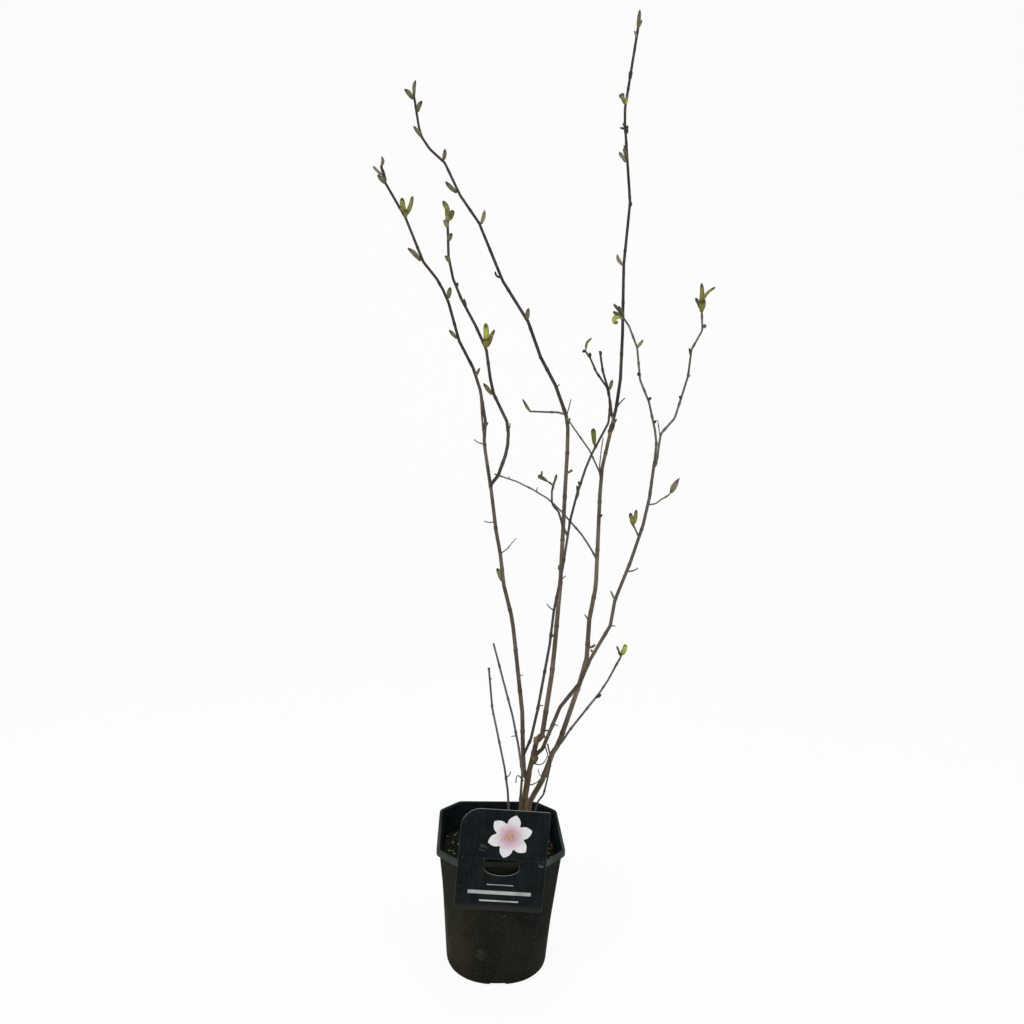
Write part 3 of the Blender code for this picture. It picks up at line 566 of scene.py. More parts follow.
# The tongue: it leaves the card above the rim, passes over the lip and hangs inside
over = RIM_LIP + 2.0 * MM
drop = TONGUE_HALF * sin(radians(CARD_TILT)) + 0.3 * MM
tongue_path = (
    (0.0, TONGUE_RISE + 1.5 * MM), (0.1 * MM, TONGUE_RISE), (0.6 * MM, TONGUE_RISE - 0.6 * MM),
    (2.2 * MM, drop + 1.2 * MM), (over - 1.0 * MM, drop + 0.6 * MM), (over, -2.0 * MM), (over + 0.7 * MM, -7 * MM),
    (over + 1.2 * MM, -12 * MM), (over + 1.6 * MM, -16 * MM), (over + 1.7 * MM, -TONGUE_LENGTH),
)
rows = []
for i, (back, up) in enumerate(tongue_path):
    end_share = max(0.0, (i - 5) / (len(tongue_path) - 6))  # it narrows from the sixth row on
    half = TONGUE_HALF * sqrt(max(0.09, 1 - (0.92 * end_share) ** 2))
    deep = card_face + CARD_THICKNESS * 0.5 + back
    rows.append([(half * (2 * k / TONGUE_STEPS - 1), deep, up) for k in range(TONGUE_STEPS + 1)])
builder = bmesh.new()
loft(builder, rows, closed=False)
tongue_work = new_object("label_tongue", mesh_from(builder, "label_tongue", 60))
thicken = tongue_work.modifiers.new("sheet", "SOLIDIFY")
thicken.thickness = 0.6 * MM
thicken.offset = 0.0
piece("label_tongue", set_on_pot(settled(tongue_work)), [card_face_ink])

# The print: an open bloom seen face on, and plain bars where wording would be
PRINT_STEP = 0.05 * MM
BLOOM_MIDDLE = Vector((7 * MM, 0, 34 * MM))
PETAL_STEPS = 20


def petal(name, length, width, turn, front):
    """A broad printed petal, narrow at the flower's heart and round at its end."""
    rings = []
    for i in range(PETAL_STEPS + 1):
        s = i / PETAL_STEPS
        half = max(0.02 * width, width / 2 * sin(pi * s**1.35) ** 0.75)
        up = length * (0.06 + 0.94 * s)
        rings.append([Vector((x, y, up)) for x, y in ((-half, 0), (half, 0), (half, PRINT_STEP), (-half, PRINT_STEP))])
    builder = bmesh.new()
    loft(builder, rings)
    mesh = mesh_from(builder, name, 40)
    place = Matrix.Translation(BLOOM_MIDDLE + Vector((0, front, 0)))
    mesh.transform(place @ Matrix.Rotation(radians(turn), 4, "Y"))
    return set_on_pot(mesh)


# Litho ink on the sheet: rose at the flower's heart, nearly white at the petal tips
petal_ink, tree, shader = new_material("petal_print_ink", Specular_IOR_Level=0.3, Roughness=0.5)
place = add(tree, "TexCoord").outputs["Object"]
heart = card_place @ (BLOOM_MIDDLE + Vector((0, card_face, 0)))
away = add(tree, "VectorMath", place, tuple(heart), operation="DISTANCE")
veins = add(tree, "TexNoise", place, Scale=260.0, Detail=3.0)
reached = add(tree, "Math", veins, 9 * MM, away, operation="MULTIPLY_ADD")
shade = add(tree, "ValToRGB", add(tree, "MapRange", reached, 5 * MM, 27 * MM, **SMOOTH))
for stop, colour in zip(shade.color_ramp.elements, ("#b9848a", "#dcdedf")):
    stop.color = linear(colour)
shade.color_ramp.elements.new(0.5).color = linear("#cdb4bd")
# The print's screen is finer than can be drawn; it is drawn as a 1.2 mm mottle, drawn out along the card
stretched = add(tree, "Mapping", place, Scale=(1.0, 1.0, 0.4))
screen = add(tree, "MapRange", add(tree, "TexNoise", stretched, Scale=800.0, Detail=3.0), 0.45, 0.70, 0.0, 0.3)
feed(shader, Base_Color=add(tree, "Mix", screen, shade, "#a98f98", **COLOURS))

layer = 1
for count, length, width, first in ((6, 28 * MM, 16 * MM, 12), (6, 18 * MM, 11 * MM, 42)):
    for k in range(count):
        name = f"bloom_petal_{layer}"
        printed = petal(name, length, width, first + 360 * k / count, card_face - layer * PRINT_STEP)
        piece(name, printed, [petal_ink])
        layer += 1

# The flower's heart is a dull gold boss
gold_ink = speckled("gold_print_ink", "#9a7f45", "#c9b070", 1.5 * MM, 0.5)
boss = [(BLOOM_MIDDLE.x + x, BLOOM_MIDDLE.z + z) for x, z in rounded(3.4 * MM, 0, 352, 22)]
printed = flat_plate("bloom_heart", [boss], card_face - layer * PRINT_STEP, PRINT_STEP)
piece("bloom_heart", printed, [gold_ink])

pale_ink = speckled("pale_print_ink", "#8f9292", "#b4b6b5", 12 * MM, 0.5)
for k, (width, tall_bar, up) in enumerate(((33, 1.1, -29.4), (79, 4.6, -39.6), (49, 1.9, -50.4)), 1):
    bar = [(x * width / 2 * MM, (up + z * tall_bar / 2) * MM) for x, z in ((-1, -1), (1, -1), (1, 1), (-1, 1))]
    printed = flat_plate(f"label_bar_{k}", [bar], card_face - PRINT_STEP, PRINT_STEP)
    piece(f"label_bar_{k}", printed, [pale_ink])

# Stems
# Three leaders rise from one short trunk and the soil, and fork into long thin shoots. Bark is smooth and
# brown at the foot, greyer further up and nearly black on last year's growth, with pale breathing pores.

EIGHT_SIDED = ("trunk", "tall_stem", "middle_stem")
END_BUD_RINGS = 4
BEND_LEAST = 0.9 * MM  # a shoot is drawn straight where it strays less than this


def merged_copy(node):
    """A CAD node's shape with its loose triangles joined."""
    builder = bmesh.new()
    builder.from_mesh(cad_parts[node].data)
    bmesh.ops.remove_doubles(builder, verts=builder.verts, dist=1e-6)
    builder.verts.index_update()
    return builder


def course_of(node):
    """The middle line of a CAD shoot from its foot up, with its radius at each ring."""
    builder = merged_copy(node)
    sides = 8 if node in EIGHT_SIDED else 6
    lowest = min(builder.verts, key=lambda v: v.co.z)
    ring = sorted(builder.verts, key=lambda v: (v.co - lowest.co).length)[:sides]
    seen = set(ring)
    course = []
    while ring:
        middle = sum((v.co for v in ring), Vector()) / len(ring)
        course.append((middle, sum((v.co - middle).length for v in ring) / len(ring)))
        ring = sorted({edge.other_vert(v) for v in ring for edge in v.link_edges} - seen, key=lambda v: v.index)
        seen.update(ring)
    builder.free()
    return course


def straightened(course):
    """Only the rings at which a course turns, since wood runs straight from one leaf scar to the next."""
    kept = {0, len(course) - 1}
    spans = [(0, len(course) - 1)]
    while spans:
        first, last = spans.pop()
        if last - first < 2:
            continue
        start = course[first][0]
        along = (course[last][0] - start).normalized()
        strays = [((course[i][0] - start).cross(along).length, i) for i in range(first + 1, last)]
        stray, turning = max(strays)
        if stray > BEND_LEAST:
            kept.add(turning)
            spans += [(first, turning), (turning, last)]
    return [course[i] for i in sorted(kept)]


def at_height(line, height):
    """The point and radius of a line where it first reaches a height."""
    for (a, ra), (b, rb) in zip(line, line[1:]):
        if a.z <= height <= b.z:
            share = (height - a.z) / max(b.z - a.z, 1e-9)
            return a.lerp(b, share), ra + (rb - ra) * share
    return line[-1] if height > line[-1][0].z else line[0]


def fork_root(carrier_line, foot, heading):
    """Where a shoot's wood parts from its carrier's: on the carrier's middle line, below the foot."""
    walked = []
    for (a, ra), (b, rb) in zip(carrier_line, carrier_line[1:]):
        count = max(1, round((b - a).length / MM))
        walked += [(a.lerp(b, i / count), ra + (rb - ra) * i / count) for i in range(count)]
    walked.append(carrier_line[-1])
    nearest = min(range(len(walked)), key=lambda i: (walked[i][0] - foot).length)
    # The steeper it rises, the further down it parts
    back = round(2.6 * walked[nearest][1] / MM * max(0.0, heading.z))
    return walked[max(0, nearest - back)][0]


# One tree turns a drawn middle line into a grown shoot: rounded at its bends, swollen at its collar and at
# each leaf scar
grow, given = new_tree(
    "grown_shoot", "Shoot", Line="Geometry", Ring_length="Float", Sides="Int", Bend_radius="Float",
    Scar_spacing="Float", Scar_swell="Float", Collar_swell="Float", Bark_relief="Float", Seed="Float", Bark="Material",
)
line = add(grow, "GeometryNodeMeshToCurve", Mesh=given["Line"])
bends = add(
    grow, "GeometryNodeFilletCurve", Curve=line, Count=6, Radius=given["Bend radius"], Limit_Radius=True, mode="POLY"
)
even = add(grow, "GeometryNodeResampleCurve", Curve=bends, Length=given["Ring length"], mode="LENGTH")
run = add(grow, "GeometryNodeSplineParameter").outputs["Length"]
counted = add(grow, "Math", run, given["Scar spacing"], operation="DIVIDE")
cycle = add(grow, "Math", add(grow, "Math", counted, given["Seed"], operation="ADD"), operation="FRACT")
off_scar = add(grow, "Math", add(grow, "Math", cycle, 0.5, operation="SUBTRACT"), operation="ABSOLUTE")
from_scar = add(grow, "Math", off_scar, given["Scar spacing"], operation="MULTIPLY")
scar = add(grow, "MapRange", from_scar, 0.0, 4.0 * MM, 1.0, 0.0, **SMOOTH)
collar = add(grow, "MapRange", run, 0.0, 9 * MM, 1.0, 0.0, **SMOOTH)
scar_growth = add(grow, "Math", scar, given["Scar swell"], operation="MULTIPLY")
growth = add(grow, "Math", collar, given["Collar swell"], scar_growth, operation="MULTIPLY_ADD")
thickness = add(grow, "GeometryNodeInputNamedAttribute", Name="thickness", data_type="FLOAT")
full = add(grow, "Math", thickness, growth, thickness, operation="MULTIPLY_ADD")
scarred = add(
    grow, "GeometryNodeStoreNamedAttribute", Geometry=even, Name="leaf_scar", Value=scar, data_type="FLOAT",
    domain="POINT",
)
girth = add(grow, "GeometryNodeCurvePrimitiveCircle", Resolution=given["Sides"], Radius=1.0)
tube = add(grow, "GeometryNodeCurveToMesh", Curve=scarred, Profile_Curve=girth, Scale=full, Fill_Caps=True)
lumps = add(grow, "TexNoise", W=given["Seed"], Scale=230.0, Detail=3.0, noise_dimensions="4D")
lump = add(grow, "Math", lumps, 0.5, operation="SUBTRACT")
push = add(grow, "Math", lump, given["Bark relief"], operation="MULTIPLY")
pushed = add(grow, "VectorMath", add(grow, "GeometryNodeInputNormal"), Scale=push, operation="SCALE")
finish_tree(grow, add(grow, "GeometryNodeSetPosition", Geometry=tube, Offset=pushed), given["Bark"])


def grown(name, lines, skin, sides, spacing, swell, collar_swell, relief, seed):
    """The mesh of one or more shoots along lines of (point, radius) pairs."""
    mesh = bpy.data.meshes.new(name)
    edges = []
    first = 0
    for drawn_line in lines:
        edges += [(first + i, first + i + 1) for i in range(len(drawn_line) - 1)]
        first += len(drawn_line)
    mesh.from_pydata([point for drawn_line in lines for point, _ in drawn_line], edges, [])
    thickness = mesh.attributes.new("thickness", "FLOAT", "POINT")
    thickness.data.foreach_set("value", [radius for drawn_line in lines for _, radius in drawn_line])
    made = tree_mesh(
        name, mesh, grow, Ring_length=2.0 * MM, Sides=sides, Bend_radius=10 * MM, Scar_spacing=spacing,
        Scar_swell=swell, Collar_swell=collar_swell, Bark_relief=relief, Seed=seed, Bark=skin,
    )
    made.set_sharp_from_angle(angle=radians(60))
    return made


def bark(name, old, old_light, young, young_light, pore, gloss, turns_at=0.71):
    """Smooth bark that changes at a height from old wood to young. Ringed at leaf scars, dotted with pores."""
    material, tree, shader = new_material(name, Specular_IOR_Level=0.2, Roughness=gloss)
    place = add(tree, "TexCoord").outputs["Object"]
    drift = add(tree, "TexNoise", place, Scale=32.0, Detail=4.0)
    fine = add(tree, "TexNoise", place, Scale=420.0, Detail=4.0, Roughness=0.65)
    share = add(tree, "MapRange", add(tree, "Math", fine, 0.6, drift, operation="MULTIPLY_ADD"), 0.60, 1.0, **SMOOTH)
    height = add(tree, "SeparateXYZ", place).outputs["Z"]
    youth = add(tree, "MapRange", height, turns_at - 0.04, turns_at + 0.04, **SMOOTH)
    old_skin = add(tree, "Mix", share, old, old_light, **COLOURS)
    young_skin = add(tree, "Mix", share, young, young_light, **COLOURS)
    skin = add(tree, "Mix", youth, old_skin, young_skin, **COLOURS)
    # Breathing pores are pale raised dots, 1 mm long and about 4 mm apart
    drawn_out = add(tree, "Mapping", place, Scale=(1.0, 1.0, 0.6))
    cells = add(tree, "TexVoronoi", drawn_out, Scale=260.0, feature="F1")
    dot = add(tree, "MapRange", cells, 0.08, 0.18, 0.6, 0.0, **SMOOTH)
    scar = add(tree, "Attribute", attribute_name="leaf_scar").outputs["Fac"]
    for part, tint in ((dot, pore), (add(tree, "MapRange", scar, 0.4, 0.95, 0.0, 0.35, **SMOOTH), young)):
        skin = add(tree, "Mix", part, skin, tint, **COLOURS)
    lifted = add(tree, "Math", dot, 1.5, fine, operation="MULTIPLY_ADD")
    feed(shader, Base_Color=skin, Normal=add(tree, "Bump", Height=lifted, Strength=0.6, Distance=0.25 * MM))
    return material


# Magnolia bark: corky brown on the trunk, thin brown that turns near-black where last year's growth starts on
# the stems, grey on the shaded right-hand stem, satin near-black on last year's twigs
BARKS = {
    "brown": ("corky_brown_bark", "#584a33", "#776748", "#3c3228", "#564a3c", "#8a7452", 0.75),
    "warm": ("smooth_warm_brown_bark", "#52473a", "#746857", "#242220", "#3c3834", "#7b6f5c", 0.65),
    "grey_brown": ("smooth_grey_brown_bark", "#493d33", "#695d50", "#242220", "#3a3632", "#6b6457", 0.65, 0.76),
    "fawn": ("smooth_fawn_bark", "#4e4236", "#6f6253", "#262421", "#3d3935", "#7b6f5c", 0.65, 0.725),
    "shaded": ("dull_grey_bark", "#4b4843", "#67635d", "#4b4843", "#67635d", "#7b776f", 0.7),
    "grey": ("smooth_grey_bark", "#42382d", "#5f5344", "#45413a", "#5f5a51", "#77736a", 0.65, 0.42),
    "pale": ("silky_pale_bark", "#5a564b", "#7b766a", "#5a564b", "#7b766a", "#8d897c", 0.7),
    "dark": ("satin_dark_twig_bark", "#35312c", "#4f4942", "#2a2724", "#443f3a", "#5d5850", 0.5),
}
BARKS = {name: bark(*looks) for name, looks in BARKS.items()}

# Each shoot: its bark, what carries it, the spacing of its leaf scars in millimetres, and its girth, by which
# its radius in millimetres is the girth times the CAD radius to the power of TAPER
TAPER = 0.72
SHOOTS = {
    "trunk": ("brown", None, 70, 1.65), "tall_stem": ("warm", None, 64, 1.45),
    "far_left_shoot": ("shaded", None, 52, 1.4), "near_left_shoot": ("shaded", None, 46, 1.45),
    "arching_shoot": ("dark", None, 40, 1.3), "middle_stem": ("fawn", "trunk", 58, 1.55),
    "left_stem": ("grey_brown", "trunk", 55, 1.5), "inner_left_stem": ("dark", "left_stem", 44, 1.42),
    "slim_stem": ("dark", "left_stem", 50, 1.4), "right_stem": ("grey", "middle_stem", 48, 1.5),
    "right_fork_inner": ("shaded", "right_stem", 34, 1.3), "right_fork_outer": ("shaded", "right_stem", 36, 1.25),
    "low_right_twig": ("shaded", "tall_stem", 38, 1.45), "slim_stem_twig": ("dark", "slim_stem", 26, 1.4),
    "long_cross_twig": ("shaded", "tall_stem", 42, 1.25), "knee_twig": ("shaded", "tall_stem", 30, 1.2),
    "middle_stem_twig": ("shaded", "middle_stem", 34, 1.4), "tall_stem_twig": ("dark", "tall_stem", 28, 1.45),
    "flower_bud_stalk": ("pale", "right_stem", 30, 0.95),
}

# Where a shoot leaves its CAD course by a few millimetres: between two heights it runs through the points
# given instead. The tall stem runs straight out of its lowest bend and its top stands nearly upright, and the
# outer fork keeps close beside the inner one as far as its elbow.
RESHAPED = (
    ("tall_stem", 206, 233, ()), ("tall_stem", 1192, 1250, ((136.6, -15, 1197),)),
    ("right_fork_outer", 676, 716, ((180, -45, 696.5), (181.3, -47, 710.7))),
    (
        "flower_bud_stalk", 622, 650,
        ((181.8, -35, 622.8), (188.3, -37, 628.8), (195.5, -40, 633.7), (199.3, -42, 638.8)),
    ),
)

# End buds: reach right, back and up of the bud's middle and tip from the end of the wood, its thickness, and
# how blunt its tip is
END_BUDS = {
    "tall_stem": ((0.5, 0, 11), (1.3, -1, 22), 4.2, 0.5), "middle_stem": ((-0.2, 0, 12), (1.6, 0, 21), 4.4, 0.6),
    "left_stem": ((2.0, 0, 6), (0.3, 0, 12), 4.2, 0.7), "slim_stem_twig": ((0.8, -1, 4), (1.6, -2, 9), 3.4, 0.8),
    "knee_twig": ((-3, 0, 4), (-7, 0, 8), 3.2, 0.8),
    "middle_stem_twig": ((-5, -2, 6), (-11.5, -4, 16.3), 4.0, 0.7),
}

# Short side twigs, stubs, thorns and knots: height of the foot above the floor, radius, then the reach to
# the right, back and up of each point from the foot, and there a new radius if one is given; millimetres
SPURS = {
    "left_stem": (
        (695, 1.5, (-4, -3, 31), (-7, -4, 62)), (690, 0.9, (-9, -4, 2), (-14, -6, 6)),
        (589, 0.9, (-8, -4, -1), (-14, -6, 1)), (547, 0.8, (9, -6, 8), (15, -9, 17), (20, -11, 23)),
        (385, 0.8, (6, -3, 2)), (1022, 1.4, (-0.6, 0, 5, 2.1), (-2.4, 0, 11, 2.3), (-3.6, 0, 16, 1.4)),
    ),
    "inner_left_stem": (
        (709, 0.9, (3, -4, 5), (2, -5, 9)), (857, 1.2, (-0.9, -3, 5, 1.5), (-2.6, -3, 10)),
        (880, 1.0, (0, 0, 3, 1.9), (1, 0, 6, 1.0)),
    ),
    "slim_stem": (
        (352, 0.8, (6, -3, 1)), (480, 0.9, (-6, -4, 5), (-10, -5, 10)), (514, 0.8, (4, -4, 10), (8, -5, 13)),
        (624, 1.2, (2, 0, 6, 2.2), (3, 0, 12, 2.0), (1, 0, 18, 1.1)),
    ),
    "slim_stem_twig": (
        (642, 0.8, (-4, -3, 4), (-11, -6, 7), (-16, -8, 11, 0.9), (-16, -8, 14, 1.5), (-15.5, -8, 18.5, 0.8)),
    ),
    "long_cross_twig": ((645, 0.7, (-1, -2, 4)), (630, 0.8, (1, -3, 6))),
    "middle_stem": (
        (267, 0.9, (9, -5, 0), (15, -6, 1), (18, -6, 6), (20.5, -6, 12)), (311, 1.3, (9, -5, 1)),
        (523, 1.0, (-5, -4, 5), (-4, -6, 10)), (655, 1.5, (3, -4, 1, 1.4), (7, -6, 4.5, 2.0)),
        (730, 0.9, (2, -4, 9), (5, -6, 23)), (768, 0.9, (4, -3, 4)), (801, 1.0, (-6, -3, 5)),
        (910, 1.4, (-4, -3, -1, 1.4), (-7.5, -4, 2, 1.4), (-8, -4, 6)),
    ),
    "tall_stem": (
        (423, 1.2, (6, -4, 3, 1.5), (9, -6, 6, 1.6)), (460, 1.2, (-7, -5, 10)),
        (646, 1.0, (-3, -4, 12), (-3.6, -6, 22), (-2.8, -8, 40), (-1, -9, 58)),
        (710, 1.6, (0.5, -1, 4, 3.2), (2.4, -2, 11, 3.0), (4.4, -2, 18, 1.5)),
        (742, 0.9, (6, -4, 9), (10, -6, 13)), (1139, 1.0, (0.4, 0, 3, 2.1), (1.0, 0, 9, 2.1), (1.6, 0, 13, 0.9)),
        (1076, 1.2, (0.5, 0, 4, 2.6), (0, 0, 10, 1.2)), (794, 1.2, (0, 0, 3, 2.0), (0, 0, 7, 1.2)),
        (991, 1.3, (0.8, 0, 3, 2.2), (0.8, 0, 6, 1.4)),
    ),
    "right_stem": (
        (297, 0.9, (4, -4, -11), (6.5, -5, -21)), (326, 0.9, (6, -3, -2)), (462, 0.9, (6, -3, 0)),
        (534, 1.0, (8.6, -4, 2), (13.4, -6, 6)), (579, 1.1, (-5, -4, 9, 1.0), (-9.6, -5, 17, 1.6)),
    ),
    "right_fork_outer": (
        (705, 0.8, (-5, -4, 22)), (838, 1.0, (1.8, -2, 1.2, 2.4), (3.4, -3, 3.0, 1.4)),
        (780, 0.8, (2.4, -3, 1.4)),
    ),
    "low_right_twig": ((400, 0.8, (3, -4, 12), (9, -6, 19)),),
    "far_left_shoot": ((257, 0.9, (4, -4, 4), (6, -5, 10)), (345, 0.9, (-2.2, -2, 1)), (393, 0.9, (2.4, -2, 1))),
    "near_left_shoot": (
        (309, 0.8, (-7, -3, 0)), (251, 0.9, (-4, -3, 5), (-7.5, -4, 8), (-8, -4, -4)),
        (250, 0.7, (3, -3, 0), (7, -4, -6)),
    ),
    "trunk": ((238, 0.9, (4, -5, 0), (12, -6, 4.5), (19, -7, 12), (26, -7, 23)),),
    "arching_shoot": ((252, 0.7, (-8, -4, 1), (-12, -5, 5), (-14, -6, 13)),),
}

lines = {}
for node, (_, carrier, _, girth) in SHOOTS.items():
    course = course_of(node)
    if node in END_BUDS:
        # A bud with its own scales stands for the CAD stem's end, and for a ring more on the middle stem's twig
        course = course[:-END_BUD_RINGS]
    if node == "middle_stem_twig":
        course = course[:-1]
    line = straightened(course)
    for reshaped, low, high, through in RESHAPED:
        if reshaped == node:
            below = [ring for ring in line if ring[0].z < low * MM]
            above = [ring for ring in line if ring[0].z > high * MM]
            line = below + [(Vector(point) * MM, below[-1][1]) for point in through] + above
    line = [(point, girth * MM * (radius / MM) ** TAPER) for point, radius in line]
    if carrier:
        foot, radius = line[0]
        line.insert(0, (fork_root(lines[carrier], foot, (line[1][0] - foot).normalized()), 0.6 * radius))
    lines[node] = line

for order, (node, (finish, _, spacing, _)) in enumerate(SHOOTS.items()):
    line = lines[node]
    drawn = [line]
    for height, spur_radius, *reaches in SPURS.get(node, ()):
        start, _ = at_height(line, height * MM)
        spur = [(start, spur_radius * MM)]
        for k, (right, back, up, *given_radius) in enumerate(reaches, 1):
            radius = given_radius[0] if given_radius else spur_radius * (1 - 0.35 * k / len(reaches))
            spur.append((start + Vector((right, back, up)) * MM, radius * MM))
        drawn.append(spur)
    thick = max(radius for _, radius in line)
    sides, swell = (14, 0.16) if thick > 2 * MM else (10, 0.34)
    mesh = grown(
        node + "_bark", drawn, BARKS[finish], sides, spacing * MM, swell,
        collar_swell=0.15, relief=0.10 * thick + 0.1 * MM, seed=order * 0.37,
    )
    piece(node + "_bark", mesh, [], [node])

# Old wounds low on the middle stem: a mossy burl, above it the callus that has grown across, and between the
# two the weathered stub of a cut shoot. Each has its height on the stem; the reach to the right, back and up
# of each ring, with its radius; its bark's relief, all in millimetres; its collar swell, seed and bark.
for name, height, rings, relief, collar_swell, seed, skin in (
    (
        "middle_stem_burl", 269,
        ((1, -1, -2, 1.5), (2.5, -3, 2, 4.2), (4, -3.5, 6, 4.6), (5, -2, 11, 2.0)), 1.2, 0.0, 5.1,
        speckled("mossy_burl_bark", "#46402a", "#736a42", 3 * MM, 0.9),
    ),
    (
        "middle_stem_callus", 300,
        ((-5, -4, 0, 2.0), (-3, -3, 2, 3.2), (1, -1, 4.5, 3.6), (4.5, -3, 4, 2.8), (6.5, -3, 2.5, 1.4)), 1.0, 0.0, 3.4,
        speckled("young_callus_bark", "#54492e", "#85764f", 3 * MM, 0.85),
    ),
    (
        "cut_stub", 293, ((0, 0, 0, 2.6), (-1.4, -4, 5, 2.7), (-1.0, -5, 10, 2.6)), 0.4, 0.2, 2.2,
        speckled("weathered_cut_wood", "#6d5f42", "#978763", 1.5 * MM, 0.8),
    ),
):
    foot, _ = at_height(lines["middle_stem"], height * MM)
    wound = [(foot + Vector(reach) * MM, radius * MM) for *reach, radius in rings]
    mesh = grown(name, [wound], skin, 14, 60 * MM, 0.0, collar_swell, relief * MM, seed)
    piece(name, mesh)

# Buds
# Winter buds with a narrow foot and a blunt tip, each wrapped in an outer scale that laps half way round an
# inner one. Their skin is olive under silky hairs, brown at the foot and dark at the tip.

BUD_ROWS = 18
BUD_SIDES = 18


def ends_of(node):
    """The middles of a CAD bud's or leaf's two ends, the lower first."""
    builder = merged_copy(node)
    corners = [v.co.copy() for v in builder.verts]
    builder.free()
    pairs = ((a, b) for i, a in enumerate(corners) for b in corners[i + 1 :])
    a, b = max(pairs, key=lambda pair: (pair[0] - pair[1]).length_squared)
    ends = []
    for end, other in ((a, b), (b, a)):
        near = [c for c in corners if (c - end).dot(other - end) < 0.12 * (other - end).length_squared]
        ends.append(sum(near, Vector()) / len(near))
    return sorted(ends, key=lambda end: end.z)


def cross_frame(heading, facing):
    """Two directions across a heading: sideways, and the one that faces the way given."""
    face = facing - heading * facing.dot(heading)
    if face.length < 1e-6:
        face = heading.orthogonal()
    face.normalize()
    return heading.cross(face).normalized(), face


def bent_line(base, tip, sunk, bend, forward):
    """From a base, sunk into its shoot, to a tip by way of a middle moved to the right and forwards."""
    heading = (tip - base).normalized()
    across = Vector((0, 1, 0)).cross(heading).normalized()
    return [base - heading * sunk, base.lerp(tip, 0.5) + across * bend + forward, tip]


def on_curve(points, s):
    """The place a share of the way along a smooth curve through a few points, and its heading there."""
    spans = len(points) - 1
    k = min(int(s * spans), spans - 1)
    t = s * spans - k
    b, c = points[k], points[k + 1]
    a = points[k - 1] if k else b * 2 - c
    d = points[k + 2] if k + 2 <= spans else c * 2 - b
    where = (b * 2 + (c - a) * t + (a * 2 - b * 5 + c * 4 - d) * t**2 + (b * 3 - a - c * 3 + d) * t**3) / 2
    heading = (c - a) + (a * 2 - b * 5 + c * 4 - d) * 2 * t + (b * 3 - a - c * 3 + d) * 3 * t**2
    return where, heading.normalized()


def bud_mesh(name, points, thickness, lap_turn, widest=0.5, foot=0.5, point=0.8):
    """A bud along a curve: narrow foot, tip that closes by a power, and the step of its outer scale's edge."""
    rings = []
    for i in range(BUD_ROWS + 1):
        s = i / BUD_ROWS
        middle, heading = on_curve(points, s)
        side, face = cross_frame(heading, Vector((0, -1, 0.3)))
        swelling = foot + (1 - foot) * sin(pi / 2 * min(1.0, s / widest))
        closing = max(0.0, 1 - max(0.0, (s - widest) / (1 - widest)) ** 1.7) ** point
        ring = []
        for k in range(BUD_SIDES):
            angle = tau * k / BUD_SIDES
            # The outer scale is a tenth thicker than the inner one, up to an edge that runs aslant
            edge = 0.60 + 0.22 * cos(angle - lap_turn)
            lap = 0.10 / (1 + exp((s - edge) * 46))
            flat = 1 + 0.06 * cos(2 * (angle - lap_turn))
            reach = thickness / 2 * max(0.05, swelling * closing) * (1 + lap) * flat
            ring.append(middle + side * reach * cos(angle) + face * reach * sin(angle))
        rings.append(ring)
    builder = bmesh.new()
    loft(builder, rings)
    made = mesh_from(builder, name, 50)
    along = made.attributes.new("along", "FLOAT", "POINT")
    along.data.foreach_set("value", [i / BUD_ROWS for i in range(BUD_ROWS + 1) for _ in range(BUD_SIDES)])
    return made


def bud_skin(name, foot_colour, middle_colour, tip_colour, hair_colour, sheen):
    """Downy bud scale. The down is drawn as fine pale streaks and as sheen."""
    material, tree, shader = new_material(
        name, Specular_IOR_Level=0.2, Roughness=0.7, Sheen_Weight=sheen, Sheen_Roughness=0.5
    )
    place = add(tree, "TexCoord").outputs["Object"]
    patches = add(tree, "TexNoise", place, Scale=260.0, Detail=3.0)
    along = add(tree, "Attribute", attribute_name="along").outputs["Fac"]
    shade = add(tree, "ValToRGB", add(tree, "Math", patches, 0.5, along, operation="MULTIPLY_ADD"))
    for stop, position, colour in zip(shade.color_ramp.elements, (0.28, 1.14), (foot_colour, tip_colour)):
        stop.position = position
        stop.color = linear(colour)
    for position in (0.52, 0.86):
        shade.color_ramp.elements.new(position).color = linear(middle_colour)
    down = add(tree, "TexNoise", add(tree, "Mapping", place, Scale=(1.0, 1.0, 0.22)), Scale=1700.0, Detail=2.0)
    streak = add(tree, "MapRange", down, 0.5, 0.7, 0.0, 0.35, **SMOOTH)
    relief = add(tree, "Bump", Height=down, Strength=0.7, Distance=0.15 * MM)
    feed(shader, Base_Color=add(tree, "Mix", streak, shade, hair_colour, **COLOURS), Normal=relief)
    return material


BUD_SKINS = {
    "olive": bud_skin("downy_leaf_bud_scale", "#483e27", "#63613d", "#302e27", "#868464", 0.12),
    "pale": bud_skin("silky_pale_bud_scale", "#585036", "#7b775a", "#56523f", "#a19d84", 0.3),
    "dark": bud_skin("dry_dark_bud_scale", "#2b261d", "#3d3826", "#23211b", "#5a5540", 0.1),
    "green": bud_skin("opening_green_bud_scale", "#64501f", "#756d29", "#3a3820", "#8f8a49", 0.05),
    "flower": bud_skin("silky_flower_bud_scale", "#38351f", "#766c59", "#4a4334", "#a1967f", 0.25),
}

